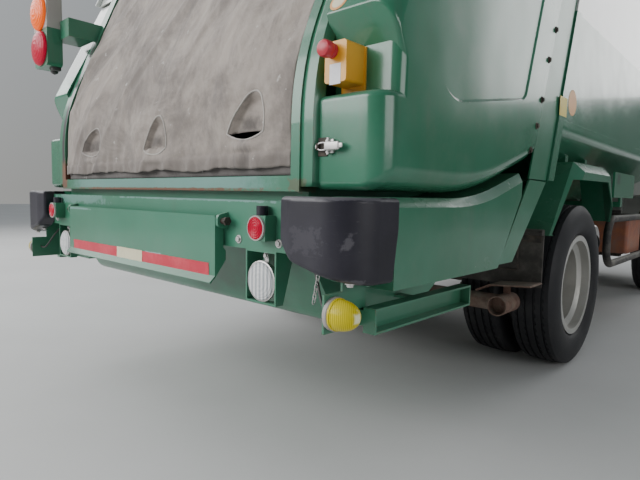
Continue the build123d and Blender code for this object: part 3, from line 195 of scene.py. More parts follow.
class Wiring:
    """Short ways to add and join nodes in one tree."""

    def __init__(self, tree):
        self.tree = tree

    def add(self, kind, **values):
        """New node with its properties set."""
        node = self.tree.nodes.new("ShaderNode" + kind)
        for key, value in values.items():
            setattr(node, key, value)
        return node

    def join(self, source, target):
        """Link one socket to another."""
        self.tree.links.new(source, target)

    def feed(self, target, value):
        """Link a socket, or set its value when a number or colour is given."""
        if isinstance(value, bpy.types.NodeSocket):
            self.join(value, target)
        else:
            target.default_value = value

    def math(self, operation, first, second=0.0, clamp=False):
        """One arithmetic step."""
        node = self.add("Math", operation=operation, use_clamp=clamp)
        self.feed(node.inputs[0], first)
        self.feed(node.inputs[1], second)
        return node.outputs[0]

    def ramp(self, value, low, high):
        """Rise from 0 at low to 1 at high."""
        node = self.add("MapRange", clamp=True, interpolation_type="SMOOTHSTEP")
        self.feed(node.inputs["Value"], value)
        self.feed(node.inputs["From Min"], low)
        self.feed(node.inputs["From Max"], high)
        return node.outputs["Result"]

    def blend(self, factor, first, second):
        """Mix two colours."""
        node = self.add("Mix", data_type="RGBA", blend_type="MIX")
        self.feed(node.inputs["Factor"], factor)
        self.feed(node.inputs[6], first)
        self.feed(node.inputs[7], second)
        return node.outputs[2]

    def noise(self, vector, scale, detail=4.0, roughness=0.6, distortion=0.0):
        """Cloudy noise from 0 to 1."""
        node = self.add("TexNoise")
        self.join(vector, node.inputs["Vector"])
        self.feed(node.inputs["Scale"], scale)
        node.inputs["Detail"].default_value = detail
        node.inputs["Roughness"].default_value = roughness
        node.inputs["Distortion"].default_value = distortion
        return node.outputs["Fac"]

    def stretched(self, vector, scale):
        """Coordinates stretched by a scale on each axis."""
        node = self.add("Mapping")
        self.join(vector, node.inputs["Vector"])
        node.inputs["Scale"].default_value = scale
        return node.outputs["Vector"]


# %% [markdown]
# Old paint shows its use by dust that gathers low and on faces that look up, by chips
# along edges, and by runs of dirt. Masks could be painted by hand on an image. Noise
# and the surface's own direction need none and fit every part. Edge wear compares a
# rounded normal with the true one, which differ only at an edge.

# %% Dust, edge wear, streak and patch groups
def build_dust():
    """Mask of dust: patches, faces that look up, and what splashes up from the road."""
    group, source, sink = new_group(
        "dust",
        [("Amount", "float", 0.4), ("Patch size", "float", 5.0), ("Splash height", "float", 0.9)],
        [("Mask", "float")],
    )
    w = Wiring(group)
    place = w.add("TexCoord").outputs["Object"]
    patches = w.ramp(w.noise(place, source.outputs["Patch size"], 6.0, 0.65), 0.42, 0.72)
    normal = w.add("NewGeometry").outputs["Normal"]
    split = w.add("SeparateXYZ")
    w.join(normal, split.inputs[0])
    upward = w.ramp(split.outputs["Z"], 0.3, 1.0)
    height = w.add("SeparateXYZ")
    w.join(place, height.inputs[0])
    low = w.math("SUBTRACT", 1.0, w.ramp(height.outputs["Z"], 0.1, source.outputs["Splash height"]))
    base = w.math("ADD", w.math("MULTIPLY", patches, 0.45), w.math("MULTIPLY", upward, 0.6))
    base = w.math("ADD", base, w.math("MULTIPLY", low, w.math("ADD", 0.25, w.math("MULTIPLY", patches, 0.6))))
    w.join(w.math("MULTIPLY", base, source.outputs["Amount"], clamp=True), sink.inputs["Mask"])
    return group


def build_edges():
    """Mask of worn edges and random chips."""
    group, source, sink = new_group(
        "edge_wear",
        [("Width", "float", 0.006), ("Amount", "float", 0.5), ("Chip scale", "float", 60.0)],
        [("Mask", "float")],
    )
    w = Wiring(group)
    place = w.add("TexCoord").outputs["Object"]
    rounded = w.add("Bevel", samples=4)
    w.join(source.outputs["Width"], rounded.inputs["Radius"])
    alike = w.add("VectorMath", operation="DOT_PRODUCT")
    w.join(rounded.outputs["Normal"], alike.inputs[0])
    w.join(w.add("NewGeometry").outputs["Normal"], alike.inputs[1])
    edge = w.ramp(w.math("SUBTRACT", 1.0, alike.outputs["Value"]), 0.02, 0.25)
    broken = w.ramp(w.noise(place, source.outputs["Chip scale"], 5.0, 0.7), 0.48, 0.6)
    wide = w.ramp(w.noise(place, 2.5, 3.0), 0.45, 0.65)
    worn = w.math("MULTIPLY", edge, w.math("MULTIPLY", broken, w.math("ADD", wide, 0.15)))
    w.join(w.math("MULTIPLY", worn, source.outputs["Amount"], clamp=True), sink.inputs["Mask"])
    return group


def build_streaks():
    """Soft vertical runs of dirt."""
    group, source, sink = new_group(
        "streaks", [("Amount", "float", 0.3), ("Fineness", "float", 30.0)], [("Mask", "float")]
    )
    w = Wiring(group)
    place = w.add("TexCoord").outputs["Object"]
    tall = w.stretched(place, (1.0, 1.0, 0.06))
    runs = w.ramp(w.noise(tall, source.outputs["Fineness"], 4.0, 0.6), 0.5, 0.75)
    cloud = w.ramp(w.noise(place, 1.7, 3.0), 0.4, 0.65)
    both = w.math("MULTIPLY", runs, cloud)
    w.join(w.math("MULTIPLY", both, source.outputs["Amount"], clamp=True), sink.inputs["Mask"])
    return group


def build_patch():
    """Mask of one ragged box-shaped patch, such as a chip, a stain, a scuff, a painted highlight or painted
    shade.
    """
    group, source, sink = new_group(
        "patch",
        [("Centre", "vector", (0, 0, 0)), ("Half size", "vector", (0.05, 0.05, 0.05)),
         ("Raggedness", "float", 0.6), ("Softness", "float", 0.3), ("Grain", "float", 40.0)],
        [("Mask", "float")],
    )
    w = Wiring(group)
    place = w.add("TexCoord").outputs["Object"]
    away = w.add("VectorMath", operation="SUBTRACT")
    w.join(place, away.inputs[0])
    w.join(source.outputs["Centre"], away.inputs[1])
    size = w.add("VectorMath", operation="ABSOLUTE")
    w.join(away.outputs[0], size.inputs[0])
    share = w.add("VectorMath", operation="DIVIDE")
    w.join(size.outputs[0], share.inputs[0])
    w.join(source.outputs["Half size"], share.inputs[1])
    split = w.add("SeparateXYZ")
    w.join(share.outputs[0], split.inputs[0])
    widest = w.math("MAXIMUM", w.math("MAXIMUM", split.outputs["X"], split.outputs["Y"]), split.outputs["Z"])
    cloud = w.math("SUBTRACT", w.noise(place, source.outputs["Grain"], 5.0, 0.7), 0.5)
    ragged = w.math("ADD", widest, w.math("MULTIPLY", cloud, source.outputs["Raggedness"]))
    start = w.math("SUBTRACT", 1.0, source.outputs["Softness"])
    w.join(w.math("SUBTRACT", 1.0, w.ramp(ragged, start, 1.0)), sink.inputs["Mask"])
    return group


dust_group = build_dust()
edge_group = build_edges()
streak_group = build_streaks()
patch_group = build_patch()
print("node groups", len(bpy.data.node_groups))

# %% [markdown]
# A finish is one Principled shader. Its base colour starts plain, is varied by noise,
# and then dirt, wear and rust are mixed over it by the groups' masks. Chips, stains,
# painted highlights and painted shade that the photograph shows at one place are marks:
# ragged boxes with a centre and a size.

# %% A finish starter
def new_finish(name):
    """Material with its wiring and its shader."""
    material = bpy.data.materials.new(name)
    material.use_nodes = True
    wiring = Wiring(material.node_tree)
    return material, wiring, material.node_tree.nodes["Principled BSDF"]


def use_group(w, group, **values):
    """Place a node group with its own values and return its mask."""
    node = w.tree.nodes.new("ShaderNodeGroup")
    node.node_tree = group
    for label, value in values.items():
        node.inputs[label.replace("_", " ")].default_value = value
    return node.outputs["Mask"]


def bump(w, shader, height, strength, distance):
    """Send a height to the shader's normal."""
    node = w.add("Bump")
    node.inputs["Strength"].default_value = strength
    node.inputs["Distance"].default_value = distance
    w.join(height, node.inputs["Height"])
    w.join(node.outputs["Normal"], shader.inputs["Normal"])


dust_colour = (0.30, 0.28, 0.24, 1)
rust_colour = (0.17, 0.075, 0.04, 1)
dark_chip = (0.02, 0.045, 0.03, 1)
# painted_sky_highlight: pale blue-green painted along edges and creases of the green paint, a painted
# reflection of the sky.
painted_sky_highlight = (0.26, 0.42, 0.42, 1)
scuff_grey = (0.20, 0.19, 0.21, 1)
# painted_opening_shade: dark colour painted as shade inside the curtain's hand openings.
painted_opening_shade = (0.075, 0.065, 0.06, 1)
run_brown = (0.10, 0.10, 0.085, 1)
pale_scuff = (0.28, 0.26, 0.26, 1)
rubbed_edge = (0.14, 0.13, 0.15, 1)
canvas_stain = (0.13, 0.115, 0.11, 1)
canvas_worn = (0.55, 0.53, 0.50, 1)
scraped_film = (0.36, 0.36, 0.33, 1)
green = (0.022, 0.155, 0.080, 1)
green_faded = (0.044, 0.210, 0.125, 1)
cream = (0.66, 0.68, 0.65, 1)
cream_faded = (0.58, 0.59, 0.54, 1)
tone_height = 1.548


def mark(centre, half, colour, ragged=0.8, soft=0.3, grain=40.0, strength=1.0):
    """One chip, stain, scuff, painted highlight or painted shade: where it is, how far it reaches and how it
    looks.
    """
    sizes = {"Centre": centre, "Half_size": half, "Raggedness": ragged, "Softness": soft, "Grain": grain}
    return sizes, colour, strength


def with_marks(w, colour, marks):
    """Mix marks over a colour."""
    for sizes, tint, strength in marks:
        mask = use_group(w, patch_group, **sizes)
        colour = w.blend(w.math("MULTIPLY", mask, strength), colour, tint)
    return colour


# %% [markdown]
# The bodywork is sprayed sheet steel in two tones. Two materials would need faces cut
# along the line. A step on the height gives one sharp line across every panel, as
# masking tape does.

# %% Body paint, green below a level line and cream above it
def body_paint(name, two_tone=True, dust=0.3, gloss=0.2, wear=0.5, streaks=0.22, plain_cream=False,
               marks=()):
    """Gloss truck paint with the two-tone line, dirt, chips, rust and the marks given, which may be painted
    highlights and shade.
    """
    material, w, shader = new_finish(name)
    place = w.add("TexCoord").outputs["Object"]
    split = w.add("SeparateXYZ")
    w.join(place, split.inputs[0])
    fade = w.ramp(w.noise(place, 1.3, 4.0), 0.35, 0.7)
    colour = w.blend(fade, green, green_faded)
    if two_tone:
        above = w.math("GREATER_THAN", split.outputs["Z"], tone_height)
        colour = w.blend(above, colour, cream)
    if plain_cream:
        colour = w.blend(w.math("MULTIPLY", fade, 0.4), cream, cream_faded)
    streak = use_group(w, streak_group, Amount=streaks, Fineness=24.0)
    colour = w.blend(streak, colour, run_brown)
    dirt = use_group(w, dust_group, Amount=dust, Patch_size=4.0, Splash_height=0.95)
    colour = w.blend(dirt, colour, dust_colour)
    colour = with_marks(w, colour, marks)
    chips = use_group(w, edge_group, Width=0.005, Amount=wear, Chip_scale=70.0)
    colour = w.blend(chips, colour, rust_colour)
    w.join(colour, shader.inputs["Base Color"])
    rough = w.math("ADD", gloss, w.math("MULTIPLY", w.math("ADD", dirt, chips), 0.5))
    rough = w.math("ADD", rough, w.math("MULTIPLY", w.noise(place, 12.0, 5.0), 0.06), clamp=True)
    w.join(rough, shader.inputs["Roughness"])
    waves = w.noise(place, 2.6, 2.0)
    peel = w.math("MULTIPLY", w.noise(place, 240.0, 2.0), 0.03)
    bump(w, shader, w.math("ADD", waves, peel), 0.2, 0.02)
    shader.inputs["Coat Weight"].default_value = 0.35
    shader.inputs["Coat Roughness"].default_value = 0.08
    return material


# %% [markdown]
# Axles, brackets and the exhaust are cast or rolled parts that were painted once. A
# picture of rust would need its own unwrapping on each, so two tones wander by noise
# over a pitted surface, and the numbers decide how far the rust has gone.

# %% Rust, cast iron and chassis paint
def rough_metal(name, colours, roughness=0.75, metallic=0.2, scale=18.0, grain=0.5):
    """Pitted metal whose colour wanders between two tones, under dust."""
    material, w, shader = new_finish(name)
    place = w.add("TexCoord").outputs["Object"]
    patches = w.ramp(w.noise(place, scale, 8.0, 0.7), 0.35, 0.68)
    colour = w.blend(patches, colours[0], colours[1])
    dirt = use_group(w, dust_group, Amount=0.55, Patch_size=9.0, Splash_height=0.8)
    colour = w.blend(dirt, colour, dust_colour)
    w.join(colour, shader.inputs["Base Color"])
    w.join(w.math("ADD", roughness, w.math("MULTIPLY", dirt, 0.2), clamp=True), shader.inputs["Roughness"])
    shader.inputs["Metallic"].default_value = metallic
    bump(w, shader, w.noise(place, 160.0, 6.0, 0.7), grain, 0.002)
    return material


# %% [markdown]
# Tyres, flaps and plastic housings come out of moulds with a fine grain. They fade,
# take pale scuffs and hold dust, so one function makes them all, and its numbers tell
# new plastic from old rubber.

# %% Rubber and moulded plastic
def moulded(name, colour, second, roughness=0.5, scuffs=0.3, dust=0.4, grain=0.15):
    """Rubber or plastic with fading, pale scuffs and dust."""
    material, w, shader = new_finish(name)
    place = w.add("TexCoord").outputs["Object"]
    base = w.blend(w.ramp(w.noise(place, 3.5, 5.0), 0.35, 0.7), colour, second)
    turned = w.stretched(place, (1.0, 6.0, 28.0))
    marks = w.ramp(w.noise(turned, 6.0, 6.0, 0.7, 0.6), 0.62, 0.74)
    base = w.blend(w.math("MULTIPLY", marks, scuffs), base, pale_scuff)
    dirt = use_group(w, dust_group, Amount=dust, Patch_size=7.0, Splash_height=0.8)
    base = w.blend(dirt, base, dust_colour)
    w.join(base, shader.inputs["Base Color"])
    w.join(w.math("ADD", roughness, w.math("MULTIPLY", dirt, 0.35), clamp=True), shader.inputs["Roughness"])
    bump(w, shader, w.noise(place, 380.0, 3.0, 0.6), grain, 0.001)
    return material


# %% [markdown]
# The corner bumpers are rubbed in places that the photograph shows. Noise alone would
# put scuffs anywhere, so a few marks are placed one by one over the plain moulded finish.

# %% Bumper moulding with its scuffs
def scuffed(name, colour, second, roughness, scuffs, dust):
    """Dark moulding with pale rubbed rims and a few scuffs."""
    material = moulded(name, colour, second, roughness, scuffs, dust)
    w = Wiring(material.node_tree)
    shader = material.node_tree.nodes["Principled BSDF"]
    base = shader.inputs["Base Color"].links[0].from_socket
    marks = [
        mark((0.985, -2.85, 0.690), (0.03, 0.03, 0.020), scuff_grey, 2.4, grain=30.0, strength=0.35),
        mark((0.86, -2.86, 0.690), (0.05, 0.02, 0.03), scuff_grey, 3.0, grain=60.0, strength=0.10),
        mark((0.90, -2.82, 0.786), (0.16, 0.10, 0.006), scuff_grey, 1.6, strength=0.35),
        mark((0.90, -2.85, 0.598), (0.14, 0.06, 0.010), scuff_grey, 2.0, strength=0.3),
    ]
    rubbed = use_group(w, edge_group, Width=0.008, Amount=0.5, Chip_scale=45.0)
    base = w.blend(rubbed, with_marks(w, base, marks), rubbed_edge)
    w.join(base, shader.inputs["Base Color"])
    return material


# %% [markdown]
# Windows are clear glass with faint smears. Transmission stays a plain value, because
# it doesn't change over a pane. Plated and painted bright metal differ only in colour,
# dust and how far fine scratches blur them.

# %% Glass and plated metal
def clear_glass(name, tint, transmission=0.92, roughness=0.03):
    """Window or lamp glass."""
    material, w, shader = new_finish(name)
    place = w.add("TexCoord").outputs["Object"]
    smears = w.math("MULTIPLY", w.noise(place, 9.0, 5.0), 0.06)
    w.join(w.math("ADD", roughness, smears, clamp=True), shader.inputs["Roughness"])
    shader.inputs["Base Color"].default_value = tint
    shader.inputs["Transmission Weight"].default_value = transmission
    shader.inputs["IOR"].default_value = 1.45
    return material


def bright_metal(name, colour, roughness=0.3, dust=0.25):
    """Plated or bare metal with fine scratches."""
    material, w, shader = new_finish(name)
    place = w.add("TexCoord").outputs["Object"]
    dirt = use_group(w, dust_group, Amount=dust, Patch_size=10.0, Splash_height=0.7)
    w.join(w.blend(dirt, colour, dust_colour), shader.inputs["Base Color"])
    fine = w.noise(w.stretched(place, (1, 1, 20)), 60.0, 4.0)
    w.join(w.math("ADD", roughness, w.math("MULTIPLY", fine, 0.25), clamp=True), shader.inputs["Roughness"])
    shader.inputs["Metallic"].default_value = 0.95
    bump(w, shader, fine, 0.08, 0.001)
    return material


# %% [markdown]
# The curtain's cloth is coated canvas. Its threads could be a fine bump, but they are
# smaller than anything seen from here, so they are left out. Stains, worn spots and a
# dark hem vary the colour, painted shade darkens the inside of the three hand openings,
# and small slanting wrinkles go into the bump.

# %% Canvas with old stains and wrinkles
def canvas_finish(name, light, dark):
    """Taupe canvas: broad stains, dark runs, pale worn spots, painted shade in the openings and small
    wrinkles.
    """
    material, w, shader = new_finish(name)
    place = w.add("TexCoord").outputs["Object"]
    cloud = w.ramp(w.noise(place, 3.2, 8.0, 0.7, 0.6), 0.36, 0.64)
    colour = w.blend(cloud, light, dark)
    low_edge = mark((0.0, -2.76, 0.86), (2.0, 0.6, 0.075), dark, 0.9, soft=0.8, grain=9.0)
    # Painted shade inside each hand opening, where the cloth sinks behind its lip.
    shaded_openings = [mark((x, -2.76, z), (0.07, 0.06, 0.030), painted_opening_shade, 1.6, soft=0.9, grain=14.0, strength=0.8)
               for x, z in ((-0.47, 0.975), (0.04, 0.965), (0.53, 0.985))]
    colour = with_marks(w, colour, [low_edge, *shaded_openings])
    runs = w.ramp(w.noise(w.stretched(place, (1.0, 0.5, 0.3)), 7.0, 8.0, 0.75, 1.2), 0.52, 0.72)
    colour = w.blend(w.math("MULTIPLY", runs, 0.6), colour, canvas_stain)
    spots = w.ramp(w.noise(place, 22.0, 5.0, 0.6), 0.66, 0.72)
    colour = w.blend(w.math("MULTIPLY", spots, 0.6), colour, canvas_worn)
    w.join(colour, shader.inputs["Base Color"])
    shader.inputs["Roughness"].default_value = 0.85
    shader.inputs["Sheen Weight"].default_value = 0.15
    slant = w.add("Mapping")
    slant.inputs["Rotation"].default_value = (0.0, 0.6, 0.0)
    w.join(place, slant.inputs["Vector"])
    wrinkles = w.noise(w.stretched(slant.outputs["Vector"], (1.0, 1.0, 0.3)), 16.0, 6.0, 0.6, 1.0)
    bump(w, shader, wrinkles, 0.5, 0.012)
    return material


# %% [markdown]
# The studio floor is a pale screed. A plain colour would look like paper, so a little
# grain and two close tones hold the shadow without drawing the eye.

# %% Floor finish
def floor_finish():
    """Pale screed with a faint grain."""
    material, w, shader = new_finish("floor_finish")
    place = w.add("TexCoord").outputs["Object"]
    tone = w.ramp(w.noise(place, 0.6, 5.0), 0.3, 0.7)
    speck = w.noise(place, 90.0, 4.0)
    colour = w.blend(tone, (0.60, 0.595, 0.585, 1), (0.66, 0.655, 0.645, 1))
    colour = w.blend(w.math("MULTIPLY", speck, 0.25), colour, (0.56, 0.555, 0.54, 1))
    w.join(colour, shader.inputs["Base Color"])
    shader.inputs["Roughness"].default_value = 0.8
    bump(w, shader, speck, 0.15, 0.002)
    return material


# %% [markdown]
# Lamp lenses are tinted through, with fine ribs that spread the light. The ribs are too
# fine for the mesh, so they are waves in the bump. A little light of their own stands
# for what their reflectors send back.

# %% Lenses with fine ribs
def ribbed_lens(name, colour, second, ribs=340.0, glow=0.0, tip=None):
    """Moulded lamp lens: deep tint, fine upright ribs and a little light of its own."""
    material, w, shader = new_finish(name)
    place = w.add("TexCoord").outputs["Object"]
    split = w.add("SeparateXYZ")
    w.join(place, split.inputs[0])
    across = w.math("ADD", split.outputs["X"], split.outputs["Y"])
    waves = w.math("SINE", w.math("MULTIPLY", across, ribs))
    base = w.blend(w.ramp(waves, -1.0, 1.0), second, colour)
    if tip:
        base = with_marks(w, base, [tip])
    dirt = use_group(w, dust_group, Amount=0.10, Patch_size=12.0, Splash_height=0.7)
    w.join(w.blend(dirt, base, dust_colour), shader.inputs["Base Color"])
    w.join(w.math("ADD", 0.28, w.math("MULTIPLY", dirt, 0.5), clamp=True), shader.inputs["Roughness"])
    shader.inputs["Specular IOR Level"].default_value = 0.2
    if glow:
        w.join(base, shader.inputs["Emission Color"])
        shader.inputs["Emission Strength"].default_value = glow
    bump(w, shader, waves, 0.2, 0.0006)
    return material


# %% [markdown]
# Tape and labels are printed film that fades and scrapes. They carry no print here, so
# a colour, a paler tone and long scrapes are enough.

# %% Tape and labels
def sticker(name, colour, second, roughness=0.4):
    """Printed film with faded and scraped places."""
    material, w, shader = new_finish(name)
    place = w.add("TexCoord").outputs["Object"]
    base = w.blend(w.ramp(w.noise(place, 14.0, 5.0), 0.4, 0.7), colour, second)
    scrapes = w.ramp(w.noise(w.stretched(place, (1.0, 1.0, 7.0)), 30.0, 6.0, 0.75), 0.64, 0.7)
    base = w.blend(w.math("MULTIPLY", scrapes, 0.6), base, scraped_film)
    w.join(base, shader.inputs["Base Color"])
    shader.inputs["Roughness"].default_value = roughness
    bump(w, shader, w.noise(place, 60.0, 3.0), 0.1, 0.0005)
    return material


# %% [markdown]
# All finishes are made once and named, so that a piece asks for one by its name. The
# marks are what the photograph shows at known places, in metres on the truck: chips,
# rust and stains, and on the rear and the hopper also painted highlights and painted
# shade. A finish that has no slot of its own in the imported model says which slot it
# belongs to.

# %% All finishes
fender_marks = (
    mark((0.985, -1.570, 0.748), (0.02, 0.028, 0.024), rust_colour, 1.2),
    mark((0.985, -1.416, 0.802), (0.02, 0.016, 0.024), dark_chip, 1.4),
    mark((0.985, -1.474, 0.764), (0.02, 0.012, 0.018), dark_chip, 1.4),
    mark((0.985, -1.609, 0.702), (0.02, 0.010, 0.010), dark_chip, 1.4),
    mark((0.985, -0.532, 0.915), (0.02, 0.030, 0.034), dark_chip, 2.2, grain=70.0),
)
# Painted highlights: pale lines on the table's tape crease and top edge and along the rear's upper edges.
rear_highlights = (
    mark((0.16, -2.841, 0.592), (0.055, 0.01, 0.008), painted_sky_highlight, 0.8),
    mark((-0.40, -2.841, 0.722), (0.10, 0.02, 0.004), painted_sky_highlight, 2.0, strength=0.5),
    mark((0.30, -2.800, 0.775), (0.45, 0.08, 0.006), painted_sky_highlight, 2.4, strength=0.5),
    mark((-0.5, -2.806, 0.760), (0.25, 0.01, 0.020), painted_sky_highlight, 2.4, strength=0.35),
)
hopper_rust_and_painted_light = (
    # A painted highlight along the hopper's lip, with real rust just under it.
    mark((0.0, -2.76, 0.823), (0.705, 0.06, 0.020), painted_sky_highlight, 0.3, strength=0.5),
    mark((0.0, -2.76, 0.803), (0.705, 0.06, 0.006), rust_colour, 1.6, soft=0.6),
    # A dark strip on the left pillar's inner face: painted shade, with some real dirt.
    mark((-0.738, -2.72, 1.20), (0.014, 0.13, 0.42), (0.035, 0.022, 0.026, 1), 0.5),
    mark((-0.735, -2.75, 0.86), (0.04, 0.06, 0.07), rust_colour, 1.2, soft=0.5),
    mark((0.74, -2.76, 0.815), (0.03, 0.06, 0.02), rust_colour, 2.2, strength=0.45),
    # A large soft dark patch low in the hopper under the beam: a painted shadow.
    mark((0.0, -2.60, 0.55), (0.80, 0.25, 0.12), (0.05, 0.07, 0.05, 1), 1.5,
         soft=0.8, strength=0.6, grain=6.0),
)
pale_tip = mark((0.0, -2.821, 0.526), (2.0, 0.014, 0.014), (0.75, 0.76, 0.50, 1), 0.2, soft=0.6)
finishes = {
    "green_paint": body_paint("green_paint_finish", dust=0.16, marks=fender_marks),
    "rear_paint": body_paint("rear_paint_finish", two_tone=False, dust=0.12, gloss=0.42, wear=0.7,
                             streaks=0.12, marks=rear_highlights),
    "hopper_paint": body_paint("hopper_paint_finish", two_tone=False, dust=0.15, gloss=0.3, wear=0.8,
                               streaks=0.15, marks=hopper_rust_and_painted_light),
    "cream_paint": body_paint("cream_paint_finish", two_tone=False, plain_cream=True, wear=0.2),
    "chassis_paint": rough_metal("chassis_finish", ((0.018, 0.018, 0.02, 1), (0.05, 0.045, 0.04, 1)),
                                 0.6, 0.1),
    "cast": rough_metal("cast_finish", ((0.03, 0.028, 0.026, 1), (0.085, 0.055, 0.04, 1)), 0.75, 0.3),
    "rust": rough_metal("rust_finish", ((0.13, 0.055, 0.04, 1), (0.25, 0.165, 0.125, 1)), 0.85, 0.15,
                        16.0, 0.8),
    "canvas": canvas_finish("canvas_finish", (0.37, 0.322, 0.282, 1), (0.19, 0.163, 0.145, 1)),
    "canvas_thread": canvas_finish("canvas_thread_finish", (0.50, 0.47, 0.43, 1), (0.34, 0.31, 0.29, 1)),
    "canvas_hem": canvas_finish("canvas_hem_finish", (0.20, 0.175, 0.165, 1), (0.13, 0.115, 0.11, 1)),
    "bumper_rubber": scuffed("bumper_finish", (0.009, 0.008, 0.015, 1), (0.018, 0.016, 0.028, 1), 0.38,
                             0.22, 0.04),
    "flap_rubber": moulded("flap_finish", (0.030, 0.026, 0.024, 1), (0.055, 0.048, 0.045, 1), 0.7, 0.2,
                           0.5),
    "tyre": moulded("tyre_finish", (0.006, 0.006, 0.009, 1), (0.012, 0.012, 0.016, 1), 0.6, 0.05, 0.05,
                    0.3),
    "hose": moulded("hose_finish", (0.015, 0.015, 0.016, 1), (0.03, 0.03, 0.03, 1), 0.5, 0.1, 0.3),
    "rim_paint": bright_metal("rim_finish", (0.66, 0.65, 0.62, 1), 0.34, 0.22),
    "silver": bright_metal("silver_finish", (0.60, 0.58, 0.57, 1), 0.36, 0.2),
    "chrome_rod": bright_metal("rod_finish", (0.75, 0.76, 0.77, 1), 0.15, 0.1),
    "glass": clear_glass("glass_finish", (0.75, 0.82, 0.80, 1)),
    "mirror_face": bright_metal("mirror_face_finish", (0.86, 0.88, 0.90, 1), 0.02, 0.02),
    "lamp_glass": ribbed_lens("lamp_glass_finish", (0.80, 0.80, 0.79, 1), (0.42, 0.44, 0.46, 1), 420.0),
    "lens": ribbed_lens("red_lens_finish", (0.50, 0.002, 0.035, 1), (0.34, 0.001, 0.02, 1), 900.0, 0.25),
    "amber_lens": ribbed_lens("amber_lens_finish", (0.95, 0.15, 0.004, 1), (0.80, 0.09, 0.003, 1),
                              700.0, 0.4),
    "yellow_lens": ribbed_lens("yellow_lens_finish", (0.62, 0.52, 0.005, 1), (0.40, 0.32, 0.002, 1),
                               1100.0, 0.12, pale_tip),
    "yellow_plastic": moulded("yellow_finish", (0.72, 0.33, 0.02, 1), (0.80, 0.40, 0.04, 1), 0.3, 0.15,
                              0.12, 0.05),
    "red_plastic": moulded("red_finish", (0.46, 0.012, 0.03, 1), (0.52, 0.03, 0.05, 1), 0.35, 0.2, 0.1,
                           0.05),
    "orange_paint": rough_metal("orange_paint_finish", ((0.38, 0.13, 0.06, 1), (0.26, 0.07, 0.04, 1)),
                                0.55, 0.0),
    "black_plastic": moulded("black_finish", (0.02, 0.02, 0.022, 1), (0.035, 0.034, 0.034, 1), 0.45,
                             0.15, 0.25),
    "grey_plastic": moulded("grey_finish", (0.36, 0.33, 0.31, 1), (0.44, 0.41, 0.39, 1), 0.5, 0.15, 0.25),
    "seat_vinyl": moulded("seat_finish", (0.05, 0.05, 0.055, 1), (0.07, 0.07, 0.075, 1), 0.6, 0.1, 0.1,
                          0.3),
    "red_tape": sticker("red_tape_finish", (0.60, 0.018, 0.050, 1), (0.68, 0.06, 0.09, 1)),
    "pale_label": sticker("pale_label_finish", (0.78, 0.72, 0.50, 1), (0.70, 0.64, 0.44, 1)),
    "white_label": sticker("white_label_finish", (0.78, 0.78, 0.80, 1), (0.66, 0.66, 0.70, 1)),
    "yellow_label": sticker("yellow_label_finish", (0.78, 0.62, 0.10, 1), (0.72, 0.55, 0.12, 1)),
    "orange_label": sticker("orange_label_finish", (0.82, 0.42, 0.16, 1), (0.76, 0.36, 0.14, 1)),
}
floor.data.materials.append(floor_finish())
print("finishes", len(finishes))

# %% [markdown]
# Each imported part takes the finish of its material slot. A few have one of their own,
# where the photograph shows a different surface, or where the rear's and the hopper's
# painted highlights and shade go.

# %% Finishes on the imported nodes
own_finish = {
    "rear_beam": "rear_paint", "folding_table": "rear_paint", "lamp_brackets": "rear_paint",
    "tail_lamp_housings": "rear_paint", "hopper_shell": "hopper_paint",
    "battery_box": "orange_paint", "headlamps": "black_plastic",
}
for row in frame["record"]["subparts"]:
    node = nodes[row["node"]]
    node.data.materials.clear()
    node.data.materials.append(finishes[own_finish.get(row["node"], row["material_slot"])])

# %% [markdown]
# Every new piece is a bmesh that goes through the same last steps: merge what coincides,
# point the faces outwards, shade smooth with sharp edges kept, give it its finish and let
# it ride on the body that carries the real piece. The helpers below add one plain form
# each to a bmesh that is being built.

# %% Helpers that shape a piece
whole_turn = 2 * math.pi
no_move = (0.0, 0.0, 0.0)
beyond = 5.0


def make_piece(name, bm, finish, body, sharp=32.0):
    """Finished object of one bmesh, riding on a body."""
    bmesh.ops.remove_doubles(bm, verts=bm.verts[:], dist=1e-5)
    bmesh.ops.recalc_face_normals(bm, faces=bm.faces[:])
    mesh = bpy.data.meshes.new(name)
    bm.to_mesh(mesh)
    bm.free()
    mesh.shade_smooth()
    mesh.set_sharp_from_angle(angle=math.radians(sharp))
    mesh.materials.append(finishes[finish])
    piece = bpy.data.objects.new(name, mesh)
    bpy.context.scene.collection.objects.link(piece)
    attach(piece, body)
    print(name, len(mesh.polygons), "faces")
    return piece


def facing(place, direction):
    """Matrix that puts the origin at a place and turns Z to a direction."""
    turn = Vector((0, 0, 1)).rotation_difference(Vector(direction)).to_matrix().to_4x4()
    return Matrix.Translation(Vector(place)) @ turn


def add_box(bm, low, high, edge=0.0, segments=2):
    """Box between two corners with rounded edges."""
    before = set(bm.verts)
    low, high = Vector(low), Vector(high)
    bmesh.ops.create_cube(bm, size=1.0)
    verts = [vert for vert in bm.verts if vert not in before]
    bmesh.ops.scale(bm, vec=high - low, verts=verts)
    if edge:
        edges = list({link for vert in verts for link in vert.link_edges})
        bmesh.ops.bevel(bm, geom=edges, offset=edge, offset_type="OFFSET", segments=segments, profile=0.5,
                        affect="EDGES", material=-1)
    verts = [vert for vert in bm.verts if vert not in before]
    bmesh.ops.translate(bm, vec=(low + high) / 2, verts=verts)


def add_rod(bm, start, end, radius, sides=16, end_radius=None):
    """Round or many-sided bar between two points."""
    start, end = Vector(start), Vector(end)
    bmesh.ops.create_cone(bm, cap_ends=True, segments=sides, radius1=radius,
                          radius2=radius if end_radius is None else end_radius, depth=(end - start).length,
                          matrix=facing((start + end) / 2, end - start))


def spin_whole(bm, section, centre, axis, steps):
    """Turn a section once round an axis into a closed form."""
    bmesh.ops.spin(bm, geom=section, cent=centre, axis=axis, dvec=no_move, angle=whole_turn, steps=steps,
                   space=Matrix.Identity(4), use_merge=True, use_normal_flip=False, use_duplicate=False)


